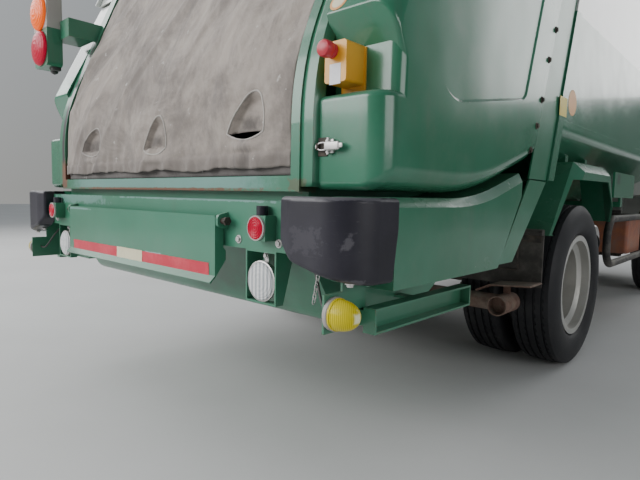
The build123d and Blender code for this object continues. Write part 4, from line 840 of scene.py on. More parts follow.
def add_spun(bm, profile, place, axis, steps=48):
    """Form of revolution from points (distance along the axis, radius)."""
    to_place = facing(place, axis)
    verts = [bm.verts.new(to_place @ Vector((radius, 0, along))) for along, radius in profile]
    edges = [bm.edges.new(ends) for ends in zip(verts, verts[1:])]
    spin_whole(bm, verts + edges, Vector(place), Vector(axis), steps)


def add_link(bm, place, axis, long_way, half_length, half_width, wire):
    """Chain link or ring: a round wire spun about an axis and drawn out along one way."""
    before = set(bm.verts)
    upright = Matrix.Translation((half_width, 0, 0)) @ Matrix.Rotation(math.pi / 2, 4, "X")
    bmesh.ops.create_circle(bm, segments=8, radius=wire, matrix=upright)
    ring = [vert for vert in bm.verts if vert not in before]
    edges = list({link for vert in ring for link in vert.link_edges})
    spin_whole(bm, ring + edges, no_move, (0, 0, 1), 20)
    verts = [vert for vert in bm.verts if vert not in before]
    bmesh.ops.scale(bm, vec=(1.0, half_length / half_width, 1.0), verts=verts)
    z_way = Vector(axis).normalized()
    y_way = Vector(long_way).normalized()
    turn = Matrix((y_way.cross(z_way), y_way, z_way)).transposed().to_4x4()
    bmesh.ops.transform(bm, matrix=Matrix.Translation(Vector(place)) @ turn, verts=verts)


def both_sides(bm):
    """Add the mirror image on the truck's left."""
    bmesh.ops.mirror(bm, geom=bm.verts[:] + bm.edges[:] + bm.faces[:], matrix=Matrix.Identity(4),
                     merge_dist=1e-6, axis="X")


def add_bolt(bm, place, direction, radius=0.009, height=0.007):
    """Hexagon head on its washer, standing on a surface."""
    way = Vector(direction).normalized()
    place = Vector(place)
    add_rod(bm, place - way * 0.001, place + way * 0.0018, radius * 1.45, sides=16)
    add_rod(bm, place + way * 0.001, place + way * height, radius, sides=6, end_radius=radius * 0.93)


# %% [markdown]
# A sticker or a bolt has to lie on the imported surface, not near it. Typed heights would
# drift from the model, so a search tree of the node's own triangles tells where a
# straight line first meets it and which way it faces.

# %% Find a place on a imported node
trees = {}


def struck(names, start, direction):
    """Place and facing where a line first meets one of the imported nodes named."""
    hits = []
    for node in names.split():
        if node not in trees:
            mesh = nodes[node].data
            trees[node] = BVHTree.FromPolygons([vert.co.copy() for vert in mesh.vertices],
                                               [tuple(face.vertices) for face in mesh.polygons])
        place, normal, _, distance = trees[node].ray_cast(Vector(start), Vector(direction))
        if place is not None:
            hits.append((distance, place, normal))
    if not hits:
        raise ValueError(f"none of {names} in the line from {tuple(start)}")
    return min(hits)[1:]


def from_behind(names, x, z):
    """Place and facing on the rear of the nodes named."""
    return struck(names, (x, -beyond, z), (0, 1, 0))


def from_front(names, x, z):
    """Place and facing on the front of the nodes named."""
    return struck(names, (x, beyond, z), (0, -1, 0))


print("stop box's rear is at y", round(from_behind("stop_box", 0.85, 1.08)[0].y, 3))

# %% [markdown]
# Road tyres have round shoulders, four grooves round the tread and a gently domed
# crown. Tread blocks could be bent round in an array, but road ribs are plain rings, so
# one closed section is spun about the axle. Short cuts along the ribs' edges come from
# insetting every second face beside a groove, as the mould's sipes leave them.

# %% Tyres
axle_height = 0.386
tyre_half = 0.1025
groove_places = (-0.052, -0.0175, 0.0175, 0.052)
groove_depth = 0.006
crown_fall = 0.8
tread_steps = 128


def crown(x):
    """Radius of the tread at x from its middle."""
    return axle_height - crown_fall * x * x


def tyre_section():
    """Closed section of (x, radius), with grooves in the crown."""
    left = [(-0.076, 0.2223), (-0.076, 0.243), (-0.088, 0.252), (-0.0985, 0.272), (-tyre_half, 0.298),
            (-0.1015, 0.322), (-0.0985, 0.343), (-0.0935, 0.358), (-0.087, 0.370), (-0.078, crown(0.078))]
    middle = []
    for centre in groove_places:
        for offset, depth in ((-0.010, 0), (-0.004, 0), (-0.0028, 1), (0.0028, 1), (0.004, 0), (0.010, 0)):
            x = centre + offset
            middle.append((x, crown(x) - depth * groove_depth))
    return left + middle + [(-x, radius) for x, radius in reversed(left)]


def add_tyre(bm, x, y):
    """One tyre with its middle at x on the axle line at y."""
    section = tyre_section()
    start = len(bm.faces)
    verts = [bm.verts.new((x + across, y, axle_height + radius)) for across, radius in section]
    edges = [bm.edges.new(ends) for ends in zip(verts, verts[1:] + verts[:1])]
    axle = Vector((x, y, axle_height))
    spin_whole(bm, verts + edges, axle, (1, 0, 0), tread_steps)
    bm.faces.ensure_lookup_table()
    bm.normal_update()
    cuts = []
    for face in bm.faces[start:]:
        middle = face.calc_center_median() - axle
        beside = min(abs(abs(middle.x) - abs(centre) - 0.007) for centre in groove_places)
        turn = math.atan2(middle.y, middle.z) / whole_turn * tread_steps
        if beside < 0.0025 and middle.yz.length > crown(0.08) - 0.001 and math.floor(turn) % 2 == 0:
            cuts.append(face)
    outward = 1.0 if all(face.normal.dot(face.calc_center_median() - axle) > 0 for face in cuts[:8]) else -1.0
    bmesh.ops.inset_individual(bm, faces=cuts, thickness=0.0012, depth=-0.003 * outward)


rear_axle_y = -1.05
front_axle_y = 1.75
wheel_rows = {
    "rear_tyres": {"x": (0.62, 0.86), "y": rear_axle_y, "body": "rear_wheel"},
    "front_tyre": {"x": (0.812,), "y": front_axle_y, "body": "front_wheel"},
}
for label, row in wheel_rows.items():
    for side, sign in (("right", 1), ("left", -1)):
        bm = bmesh.new()
        for x in row["x"]:
            add_tyre(bm, sign * x, row["y"])
        tyres = make_piece(f"treaded_{label}_{side}", bm, "tyre", f"{row['body']}_{side}", sharp=28.0)
        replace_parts(tyres, f"{label}_{side}")

# %% [markdown]
# Wheel nuts clamp the rim against its seats, six to a circle, and turn with the wheel.
# Each is a cone seat and a hexagon. A loop round the circle places them, so the number
# and the circle are easy to change.

# %% Wheel nuts
nut_count = 6
nut_rows = {
    "rear_wheel": {"x": 0.741, "y": rear_axle_y, "circle": 0.111},
    "front_wheel": {"x": 0.932, "y": front_axle_y, "circle": 0.100},
}
for body, row in nut_rows.items():
    for side, sign in (("right", 1), ("left", -1)):
        bm = bmesh.new()
        for index in range(nut_count):
            angle = whole_turn * index / nut_count
            place = Vector((sign * row["x"], row["y"] + row["circle"] * math.sin(angle),
                            axle_height + row["circle"] * math.cos(angle)))
            out = Vector((sign, 0, 0))
            add_rod(bm, place - out * 0.001, place + out * 0.006, 0.025, sides=24, end_radius=0.022)
            add_rod(bm, place + out * 0.006, place + out * 0.024, 0.0215, sides=6, end_radius=0.020)
        make_piece(f"wheel_nuts_{body}_{side}", bm, "cast", f"{body}_{side}")

# %% [markdown]
# The curtain is one sheet of canvas that hangs from the header over the hopper's mouth.
# A cloth simulation could hang it, but a function of width and height gives the same
# folds on every run, and the seams can follow it exactly. The sheet keeps to the line
# of the pillars, and its depth comes from smooth noise: broad slack, slanting folds and
# small gathers near the hem. Three hand openings are sewn into it, where the cloth
# sinks behind a curved lip. The right one has a slit left open.

# %% Shape of the hanging canvas
pillar_y, bend_radius = -2.770, 0.680
bend_start, bend_end = 0.9704, 1.2383
mouth_lean = math.radians(23.2)
lean_slope = math.tan(mouth_lean)
curtain_half = 0.712
curtain_low, curtain_high = 0.863, 1.876
gather_top, hem_seam = 0.955, 0.904
lip_drop, bag_reach = 0.020, 0.03
openings = (
    {"x": -0.455, "z": 0.952, "half": 0.090, "height": 0.092, "lean": 0.36, "slit": 0.0},
    {"x": 0.045, "z": 0.940, "half": 0.074, "height": 0.108, "lean": 0.50, "slit": 0.0},
    {"x": 0.528, "z": 0.962, "half": 0.078, "height": 0.112, "lean": 0.42, "slit": 0.024},
)


def mouth_y(z):
    """Y of the line that the pillars give the hanging cloth at height z."""
    if z < bend_start:
        return pillar_y
    if z < bend_end:
        return pillar_y + bend_radius - math.sqrt(bend_radius**2 - (z - bend_start) ** 2)
    return mouth_y(bend_end - 1e-9) + (z - bend_end) * lean_slope


def in_opening(opening, x, z):
    """Share across and up in an opening's sail shape: inside it, -1 to 1 and 0 to 1."""
    up = (z - opening["z"]) / opening["height"]
    middle = opening["x"] + opening["lean"] * opening["half"] * max(0.0, min(1.0, up))
    reach = opening["half"] * math.sqrt(max(0.0, 1.0 - max(0.0, up) ** 1.5)) if up < 1 else 0.0
    return ((x - middle) / max(reach, 0.002), up)


def lip_z(opening, across):
    """Height of an opening's curved lower lip."""
    return opening["z"] - lip_drop * (1.0 - min(1.0, across * across))


def soft_step(value, low, high):
    """Smooth rise from 0 to 1."""
    share = max(0.0, min(1.0, (value - low) / (high - low)))
    return share * share * (3 - 2 * share)


def canvas_relief(x, z):
    """How far the cloth stands out from its line, in metres."""
    height = (z - curtain_low) / (curtain_high - curtain_low)
    slack = 0.007 * math.sin(math.pi * height) * (1 - (x / curtain_half) ** 2)
    slant = noise.noise(Vector((x * 3.4 - z * 3.0, z * 1.1, 3.7)))
    folds = 0.010 * (1 - abs(slant)) ** 4
    fine = 0.007 * noise.noise(Vector((x * 9 - z * 6, z * 4, 9.1)))
    crease = 0.0026 * noise.noise(Vector((x * 34 - z * 12, z * 15, 1.3)))
    gathers = 0.009 * noise.noise(Vector((x * 24, z * 5, 5.5))) * soft_step(-z, -gather_top, -curtain_low)
    edge = 0.003 * soft_step(-z, -hem_seam - 0.002, -hem_seam + 0.002)
    hem = edge - 0.002 * math.exp(-(((z - hem_seam) / 0.003) ** 2))
    relief = slack + folds + fine + crease + gathers + hem
    for opening in openings:
        across, up = in_opening(opening, x, z)
        if 0 <= up < 1 and abs(across) < 1:
            relief -= 0.018 * soft_step(1 - abs(across), 0.0, 0.3) * soft_step(1 - up, 0.0, 0.25)
        around = math.hypot((x - opening["x"]) / 0.13, (z - opening["z"] - 0.02) / 0.11)
        relief += 0.004 * math.exp(-((around - 1) ** 2) * 12)
        below = opening["z"] - 0.022 - z
        if 0 < below < bag_reach and abs(x - opening["x"]) < opening["half"]:
            across = (x - opening["x"]) / opening["half"]
            relief += 0.010 * math.sin(math.pi * below / bag_reach) * (1 - across**2)
    return relief


def canvas_point(x, z, lift=0.0):
    """Point on the cloth's outer face."""
    return Vector((x, mouth_y(z) + 0.012 - canvas_relief(x, z) - lift, z))


def hem_z(x):
    """Height of the ragged lower hem."""
    sag = 0.010 * noise.noise(Vector((x * 5.0, 0.3, 0.0)))
    return curtain_low + sag + 0.004 * noise.noise(Vector((x * 26, 4, 1)))


# %% [markdown]
# The shape is put on a grid, which has enough columns for the gathers. A slit cut
# straight through a grid has a stepped edge, so the rows near it are first drawn onto
# its curved edges. A thickness is added last, as the cloth's own.

# %% Canvas curtain
def snapped(x, z, row_height):
    """Height z, drawn onto the edges of an open slit where it passes near them."""
    for opening in openings:
        across = (x - opening["x"]) / opening["half"]
        if opening["slit"] and abs(across) < 1:
            low = lip_z(opening, across)
            for edge in (low, low + opening["slit"] * (1 - across * across)):
                if abs(z - edge) < row_height / 2:
                    return edge
    return z


def build_curtain():
    """Grid bent to the cloth's shape, with the openings' slits cut out."""
    bm = bmesh.new()
    columns, rows = 220, 170
    bmesh.ops.create_grid(bm, x_segments=columns, y_segments=rows, size=0.5)
    slit = []
    for vert in bm.verts:
        x = 2 * curtain_half * vert.co.x
        low = hem_z(x)
        z = low + (curtain_high - low) * (vert.co.y + 0.5)
        vert.co = canvas_point(x, snapped(x, z, (curtain_high - low) / rows))
    for face in bm.faces:
        middle = face.calc_center_median()
        for opening in openings:
            across, up = in_opening(opening, middle.x, middle.z)
            low = lip_z(opening, across)
            roof = low + opening["slit"] * (1 - across * across)
            if abs(across) < 1 and low < middle.z < roof:
                slit.append(face)
    bmesh.ops.delete(bm, geom=slit, context="FACES")
    loose = [vert for vert in bm.verts if not vert.link_faces]
    bmesh.ops.delete(bm, geom=loose, context="VERTS")
    curtain = make_piece("canvas_curtain_cloth", bm, "canvas", "tailgate", sharp=80.0)
    thick = curtain.modifiers.new("cloth_thickness", "SOLIDIFY")
    thick.thickness = 0.0022
    thick.offset = 1.0
    return curtain


curtain = build_curtain()
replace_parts(curtain, "canvas_curtain")

# %% [markdown]
# Each opening is bound with a stitched welt: a thin round cord of cloth sewn along the
# arch and the lip. A curve with a bevel could make it, but here rings are bridged along
# points that come from the sheet's own function, so the welt lies on the cloth. The
# lower edge is backed by a strip of rubber-coated canvas that hangs to the hopper's
# lip.

# %% Welts and the hem strip
def add_tube(bm, points, radius, sides=8, closed=False):
    """Round tube along points, made by bridging rings."""
    rings = []
    count = len(points)
    for index, point in enumerate(points):
        ahead = points[(index + 1) % count] if closed else points[min(index + 1, count - 1)]
        behind = points[index - 1] if closed or index else points[0]
        turned = facing(point, ahead - behind)
        made = bmesh.ops.create_circle(bm, segments=sides, radius=radius, matrix=turned)
        rings.append(list({link for vert in made["verts"] for link in vert.link_edges}))
    pairs = list(zip(rings, rings[1:])) + ([(rings[-1], rings[0])] if closed else [])
    for first, second in pairs:
        bmesh.ops.bridge_loops(bm, edges=first + second)
    if not closed:
        for ring in (rings[0], rings[-1]):
            bmesh.ops.edgeloop_fill(bm, edges=ring)


def opening_loop(opening, steps=28):
    """Points round an opening: along the lip, then up and over the arch."""
    lip = []
    for index in range(steps):
        across = -1 + 2 * index / (steps - 1)
        x = opening["x"] + opening["half"] * across
        lip.append(canvas_point(x, lip_z(opening, across), 0.002))
    arch = []
    for index in range(1, steps):
        angle = math.pi * index / steps
        up = math.sin(angle) ** (4 / 3)
        middle = opening["x"] + opening["lean"] * opening["half"] * up
        x = middle + opening["half"] * math.cos(angle)
        arch.append(canvas_point(x, opening["z"] + opening["height"] * up, 0.002))
    return lip + arch


bm = bmesh.new()
for opening in openings:
    add_tube(bm, opening_loop(opening), 0.0028, closed=True)
welts = make_piece("curtain_welts", bm, "canvas_thread", "tailgate", sharp=80.0)

strip_low, strip_width = 0.8425, 0.030
bm = bmesh.new()
bmesh.ops.create_grid(bm, x_segments=120, y_segments=4, size=0.5)
for vert in bm.verts:
    x = 2 * curtain_half * vert.co.x
    z = strip_low + strip_width * (vert.co.y + 0.5)
    slack = 0.002 * noise.noise(Vector((x * 7, z * 20, 2)))
    vert.co = Vector((x, pillar_y + 0.018 + slack, z))
strip = make_piece("curtain_hem_strip", bm, "canvas_hem", "tailgate", sharp=80.0)
strip.modifiers.new("strip_thickness", "SOLIDIFY").thickness = 0.003

# %% [markdown]
# Beside each pillar a bent steel sheet closes the gap to the moulded cover. It is a
# grid that follows the pillar's line a little further in, with a folded edge along the
# cover, because a flat plate would leave the bend open.

# %% Filler sheets beside the pillars
filler_inner, filler_width = 0.7515, 0.055
filler_low, filler_high = 0.812, 1.700
filler_fold = 0.025
bm = bmesh.new()
bmesh.ops.create_grid(bm, x_segments=4, y_segments=60, size=0.5)
for vert in bm.verts:
    across = vert.co.x + 0.5
    z = filler_low + (filler_high - filler_low) * (vert.co.y + 0.5)
    fold = filler_fold if across > 0.9 else 0.0
    vert.co = Vector((filler_inner + filler_width * across, mouth_y(z) + 0.004 + fold, z))
both_sides(bm)
filler = make_piece("pillar_filler_sheets", bm, "hopper_paint", "tailgate", sharp=40.0)
filler.modifiers.new("sheet_thickness", "SOLIDIFY").thickness = 0.002

# %% [markdown]
# The rear lamps are moulded lenses. A lens is a low dome with round ribs, spun about
# the lamp's own axis. The ribs are in the section, not only in the finish, so that
# highlights break up as they do on the real moulding.

# %% Tail lamps, reflectors, side markers and reversing lamps
rearward = Vector((0, -1, 0))


def dome_profile(radius, height, start, ribs=6, rib_depth=0.0008):
    """Low dome from its rim to its pole, with shallow round ribs."""
    steps = ribs * 4
    points = [(start, 0.0), (start, radius)]
    for index in range(steps + 1):
        share = index / steps
        ripple = rib_depth * math.sin(whole_turn * ribs * share) if 0 < index < steps else 0.0
        points.append((start + 0.004 + height * math.sin(share * math.pi / 2) + ripple,
                       radius * math.cos(share * math.pi / 2)))
    return points


tail_lamp = {"radius": 0.0775, "height": 0.024}
reversing_place = (0.650, -2.800, 0.563)
lens_rows = {
    "amber_tail_lenses": {"place": (0.930, -2.788, 1.600), **tail_lamp, "finish": "amber_lens"},
    "red_tail_lenses": {"place": (0.930, -2.788, 1.443), **tail_lamp, "finish": "lens"},
    "red_reflectors": {"place": (0.676, -2.843, 0.706), "radius": 0.0295, "height": 0.003, "finish": "lens"},
    "reversing_lenses": {"place": reversing_place, "radius": 0.050, "height": 0.010, "finish": "lamp_glass"},
}
lens_pieces = []
for label, row in lens_rows.items():
    bm = bmesh.new()
    add_spun(bm, dome_profile(row["radius"], row["height"], 0.0), row["place"], rearward)
    both_sides(bm)
    lens_pieces.append(make_piece(label, bm, row["finish"], "tailgate", sharp=50.0))
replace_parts(lens_pieces[0], "rear_lenses")

bm = bmesh.new()
reflector_ring = [(0, 0.0), (0, 0.032), (0.006, 0.032), (0.0065, 0.0285), (0, 0.0)]
add_spun(bm, reflector_ring, (0.676, -2.8415, 0.706), rearward)
both_sides(bm)
make_piece("lamp_seats", bm, "grey_plastic", "tailgate")

marker_place = (0.918, -2.821, 0.526)
bm = bmesh.new()
marker_base = [(0.0, 0.0), (0.0, 0.0385), (0.010, 0.0395), (0.013, 0.037), (0.013, 0.0)]
add_spun(bm, marker_base, marker_place, (1, 0, 0))
both_sides(bm)
make_piece("side_marker_bases", bm, "grey_plastic", "tailgate")
bm = bmesh.new()
dome_steps = 14
dome = [(0.012, 0.0), (0.012, 0.0375), (0.018, 0.0375), (0.0185, 0.0355)]
for index in range(1, dome_steps + 1):
    share = index / dome_steps
    dome.append((0.0185 + 0.0545 * share, 0.0355 * (1 - share**2.3) ** 0.5))
add_spun(bm, dome, marker_place, (1, 0, 0))
both_sides(bm)
make_piece("side_marker_domes", bm, "yellow_lens", "tailgate", sharp=50.0)

bm = bmesh.new()
cup = [(-0.036, 0.0), (-0.036, 0.022), (-0.030, 0.040), (-0.010, 0.052), (0.0, 0.0545), (0.004, 0.0545),
       (0.005, 0.051), (0.0, 0.049), (0.0, 0.0)]
add_spun(bm, cup, reversing_place, rearward)
add_box(bm, (0.641, -2.786, 0.600), (0.659, -2.764, 0.640), 0.003)
add_bolt(bm, (0.650, -2.786, 0.630), rearward, 0.006, 0.006)
both_sides(bm)
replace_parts(make_piece("reversing_lamp_cups", bm, "silver", "tailgate"), "reversing_lamps")

# %% [markdown]
# The grey housing behind the amber lamp is a separate moulding on the painted box, made
# as a rounded box. Below the box the lamps' wires leave through a rubber boot, whose
# folds are one section turned about an upright line.

# %% Lamp box mouldings
bm = bmesh.new()
add_box(bm, (0.8485, -2.7875, 1.524), (1.0115, -2.718, 1.6855), 0.006, 3)
both_sides(bm)
make_piece("upper_lamp_boxes", bm, "grey_plastic", "tailgate")
bm = bmesh.new()
boot = [(0, 0), (0, 0.022), (-0.008, 0.020), (-0.012, 0.016), (-0.018, 0.017), (-0.024, 0.013),
        (-0.030, 0.0)]
add_spun(bm, boot, (0.915, -2.735, 1.362), (0, 0, 1), 24)
add_box(bm, (0.870, -2.760, 1.345), (0.895, -2.720, 1.362), 0.003)
for z in (1.41, 1.50):
    add_bolt(bm, (1.010, -2.745, z), (1, 0, 0), 0.005, 0.004)
both_sides(bm)
make_piece("lamp_box_fittings", bm, "black_plastic", "tailgate")

# %% [markdown]
# Small fittings sit on the tailgate's right rear corner: the stop button with its blank
# label, the toggle latch that holds the lamp-side cover shut, and blank stickers there
# and on the body's side. The button is turned, and the latch is small rounded boxes
# with a wire loop. Stickers are thin discs on the surface that a line meets.

# %% Stop button, latch and stickers
bm = bmesh.new()
button = [(0.0, 0.0), (0.0, 0.0175), (0.007, 0.0175), (0.009, 0.0150), (0.013, 0.0150), (0.0145, 0.0190),
          (0.017, 0.0200), (0.033, 0.0198), (0.036, 0.0180), (0.0385, 0.0120), (0.0395, 0.0)]
add_spun(bm, button, (0.846, -2.7595, 1.128), rearward, 32)
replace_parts(make_piece("stop_push_button", bm, "red_plastic", "tailgate"), "stop_button")

bm = bmesh.new()
add_box(bm, (0.838, -2.7606, 1.051), (0.872, -2.7598, 1.098))
make_piece("stop_box_label", bm, "white_label", "tailgate")

bm = bmesh.new()
add_box(bm, (0.826, -2.7575, 0.892), (0.852, -2.7495, 0.926), 0.002)
add_box(bm, (0.831, -2.7690, 0.898), (0.877, -2.7615, 0.919), 0.0035, 3)
add_box(bm, (0.872, -2.7670, 0.903), (0.886, -2.7630, 0.914), 0.0015)
add_rod(bm, (0.838, -2.7600, 0.889), (0.838, -2.7600, 0.929), 0.004, 12)
add_link(bm, (0.820, -2.7600, 0.909), rearward, (1, 0, 0), 0.021, 0.009, 0.0018)
make_piece("cover_latch", bm, "silver", "tailgate")
bm = bmesh.new()
add_box(bm, (0.799, -2.7535, 0.886), (0.829, -2.7495, 0.931), 0.0015)
add_box(bm, (0.800, -2.7625, 0.900), (0.806, -2.7525, 0.918), 0.0015)
make_piece("cover_latch_keeper", bm, "cast", "tailgate")


def add_sticker(bm, names, start, direction, radius, lift):
    """Thin round film on the surface that a line meets."""
    place, normal = struck(names, start, direction)
    add_rod(bm, place + normal * (lift - 0.0012), place + normal * lift, radius, 40)


cover_line = ("side_cover_right", (0.824, -beyond, 1.258), (0, 1, 0))
bm = bmesh.new()
add_sticker(bm, *cover_line, 0.026, 0.0008)
make_piece("cover_sticker_ring", bm, "orange_label", "tailgate")
bm = bmesh.new()
add_sticker(bm, *cover_line, 0.0195, 0.0012)
make_piece("cover_sticker_face", bm, "pale_label", "tailgate")
body_skins = "body_sides body_ring"
bm = bmesh.new()
add_sticker(bm, body_skins, (3.0, -1.423, 1.190), (-1, 0, 0), 0.052, 0.0008)
make_piece("body_side_disc", bm, "orange_label", "chassis")
bm = bmesh.new()
side_place, _ = struck(body_skins, (3.0, -1.557, 1.155), (-1, 0, 0))
add_box(bm, (side_place.x - 0.0004, -1.599, 1.119), (side_place.x + 0.0008, -1.515, 1.192))
make_piece("body_side_patch", bm, "yellow_label", "chassis")

# %% [markdown]
# Bolt heads show how the skins are held. The side strips and the lamp brackets have
# their rows, and the folding table turns on two pivot bolts. A bolt could be one copied
# mesh, but adding each to the same bmesh keeps a row in one piece.

# %% Bolts on the tailgate
bm = bmesh.new()
side_skins = "side_cover_right hopper_shell body_ring side_skirts"
for y, z in ((-1.784, 1.148), (-1.736, 1.297), (-1.681, 1.416), (-1.863, 0.964), (-1.820, 1.052)):
    place, normal = struck(side_skins, (3.0, y, z), (-1, 0, 0))
    add_bolt(bm, place, normal, 0.0085, 0.008)
both_sides(bm)
make_piece("side_strip_bolts", bm, "cast", "tailgate")

bm = bmesh.new()
for x, y in ((0.895, -2.804), (0.958, -2.812)):
    place, _ = struck("lamp_brackets corner_bumpers", (x, y, 0.0), (0, 0, 1))
    add_bolt(bm, place, (0, 0, -1), 0.0085, 0.008)
for x, z in ((0.56, 0.668), (0.72, 0.668)):
    place, normal = from_behind("rear_beam lamp_brackets", x, z)
    add_bolt(bm, place, normal, 0.008, 0.007)
both_sides(bm)
make_piece("rear_bracket_bolts", bm, "silver", "tailgate")

bm = bmesh.new()
pivot_y, pivot_z = -2.826, 0.716
for x in (-0.516, 0.516):
    for start, end, radius, sides in ((-0.016, 0.016, 0.0085, 16), (-0.020, -0.013, 0.0125, 6),
                                      (0.013, 0.020, 0.0125, 6)):
        add_rod(bm, (x + start, pivot_y, pivot_z), (x + end, pivot_y, pivot_z), radius, sides)
make_piece("table_pivot_bolts", bm, "cast", "tailgate")

# %% [markdown]
# The folding table carries a strip of red warning tape with a blank label over it. Film
# has no thickness that shows, so each is one grid with a torn outline just off the
# plate.

# %% Tape and label on the table
def add_film(bm, low_x, high_x, low_z, high_z, y, tear=0.002):
    """Upright film with slightly torn ends and a few raised wrinkles."""
    columns, rows = max(6, int((high_x - low_x) / 0.008)), 6
    made = bmesh.ops.create_grid(bm, x_segments=columns, y_segments=rows, size=0.5)
    for vert in made["verts"]:
        across, up = vert.co.x + 0.5, vert.co.y + 0.5
        torn = tear * noise.noise(Vector((up * 9, low_x * 7, 1.0)))
        z = low_z + (high_z - low_z) * up + 0.3 * tear * noise.noise(Vector((across * 30, up * 2, 4.0)))
        lift = 0.0005 * max(0.0, noise.noise(Vector((across * 25, up * 4, 8.0))))
        vert.co = Vector((low_x + (high_x - low_x) * across + torn, y - lift, z))


bm = bmesh.new()
add_film(bm, -0.462, 0.470, 0.561, 0.596, -2.8419, 0.004)
make_piece("table_tape", bm, "red_tape", "table", sharp=80.0)
bm = bmesh.new()
add_film(bm, -0.085, 0.094, 0.559, 0.598, -2.8427, 0.003)
make_piece("table_label", bm, "pale_label", "table", sharp=80.0)

# %% [markdown]
# A short chain hangs from the lamp bracket. A link could be a torus stretched by hand.
# Here a circle of wire is spun into a ring and drawn out, and each is turned a quarter
# from the one above it.

# %% Chain under the right bumper
bm = bmesh.new()
top, bottom = Vector((0.841, -2.790, 0.596)), Vector((0.829, -2.790, 0.536))
link_count = 6
for index in range(link_count):
    place = top.lerp(bottom, index / (link_count - 1))
    way = (bottom - top).normalized()
    add_link(bm, place, (1, 0, 0) if index % 2 else (0, 1, 0), way, 0.0080, 0.0046, 0.0014)
make_piece("bracket_chain", bm, "silver", "tailgate")

# %% [markdown]
# Wiring and hoses hang free, so each is a NURBS curve led by listed points. A
# tube of faces would look the same, but a curve keeps its route, and its bare length
# can be measured. That length is what a maker would cut.

# %% Cables and hoses
def cord_length(cord):
    """Length of a curve's own line, from a copy without its thickness."""
    plain = cord.data.copy()
    plain.bevel_depth = 0.0
    holder = bpy.data.objects.new("plain", plain)
    line = bpy.data.meshes.new_from_object(holder)
    places = [vert.co for vert in line.vertices]
    length = sum((after - before).length for before, after in zip(places, places[1:]))
    bpy.data.objects.remove(holder)
    bpy.data.meshes.remove(line)
    bpy.data.curves.remove(plain)
    return length


def add_cord(name, points, radius, body):
    """Round cable along points, fixed at both ends to the same body."""
    data = bpy.data.curves.new(name, "CURVE")
    data.dimensions = "3D"
    data.bevel_depth = radius
    data.bevel_resolution = 3
    data.resolution_u = 8
    spline = data.splines.new("NURBS")
    spline.points.add(len(points) - 1)
    for point, place in zip(spline.points, points):
        point.co = (*place, 1.0)
    spline.order_u = 3
    spline.use_endpoint_u = True
    data.materials.append(finishes["hose"])
    cord = bpy.data.objects.new(name, data)
    bpy.context.scene.collection.objects.link(cord)
    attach(cord, body)
    length = cord_length(cord)
    return length


cord_rows = {
    "right_marker_cable": {"radius": 0.0035, "route": (
        (0.914, -2.815, 0.528), (0.885, -2.812, 0.520), (0.860, -2.800, 0.545),
        (0.835, -2.785, 0.585), (0.800, -2.765, 0.625), (0.772, -2.745, 0.655))},
    "left_marker_cable": {"radius": 0.0035, "route": (
        (-0.914, -2.815, 0.528), (-0.885, -2.812, 0.520), (-0.860, -2.800, 0.545),
        (-0.835, -2.785, 0.585), (-0.800, -2.765, 0.625), (-0.772, -2.745, 0.655))},
    "right_reversing_cable": {"radius": 0.004, "route": (
        (0.650, -2.766, 0.563), (0.660, -2.740, 0.560), (0.668, -2.722, 0.590),
        (0.655, -2.722, 0.625), (0.640, -2.735, 0.650))},
    "left_reversing_cable": {"radius": 0.004, "route": (
        (-0.650, -2.766, 0.563), (-0.660, -2.740, 0.560), (-0.668, -2.722, 0.590),
        (-0.655, -2.722, 0.625), (-0.640, -2.735, 0.650))},
}
for label, row in cord_rows.items():
    length = add_cord(label, row["route"], row["radius"], "tailgate")
    print(label, round(length, 3))
hose_points = ((0.845, -0.400, 0.600), (0.885, -0.425, 0.580), (0.885, -0.470, 0.500),
               (0.800, -0.520, 0.450), (0.600, -0.530, 0.500), (0.480, -0.520, 0.560),
               (0.394, -0.500, 0.600))
length = add_cord("air_tank_hose", hose_points, 0.008, "chassis")
print("air hose", round(length, 3))

# %% [markdown]
# Each mud flap is clamped between the fender's arm and a steel strip with three bolts.
# The frame's joints show rows of bolt heads, and at each axle threaded rods with nuts
# show where the springs are held. All of them repeat, so loops over short lists of
# places make them.

# %% Flap clamps and the frame's bolt rows
bm = bmesh.new()
add_box(bm, (0.795, -1.4960, 0.612), (0.920, -1.4880, 0.668), 0.003)
for x in (0.815, 0.858, 0.900):
    add_bolt(bm, (x, -1.4960, 0.640), rearward, 0.007, 0.007)
flap_wire = ((0.819, -1.493, 0.612), (0.822, -1.494, 0.550), (0.826, -1.494, 0.496),
             (0.818, -1.494, 0.487), (0.785, -1.494, 0.486), (0.746, -1.494, 0.486))
add_tube(bm, [Vector(place) for place in flap_wire], 0.0035)
both_sides(bm)
make_piece("flap_clamps", bm, "cast", "chassis")

bm = bmesh.new()
for y in (-1.30, -1.20, -0.86, -0.76, -0.40, -0.30, 0.10, 0.20, 0.70, 0.80, 1.30, 1.40):
    for z in (0.545, 0.665):
        place, normal = struck("frame_rails", (0.59, y, z), (-1, 0, 0))
        add_bolt(bm, place, normal, 0.010, 0.009)
for y in (rear_axle_y, front_axle_y):
    for x in (0.384, 0.466):
        for shift in (-0.058, 0.058):
            add_rod(bm, (x, y + shift, 0.30), (x, y + shift, 0.50), 0.0075, 10)
            add_rod(bm, (x, y + shift, 0.318), (x, y + shift, 0.332), 0.0135, 6)
both_sides(bm)
make_piece("frame_and_spring_bolts", bm, "cast", "chassis")

# %% [markdown]
# Window rubbers are extruded round the opening's edge. Each follows a rounded outline
# that is cast on the cab's skin, so it bends with the windscreen's curve, which a flat
# outline wouldn't. The door handle is a grip on a flat plate.

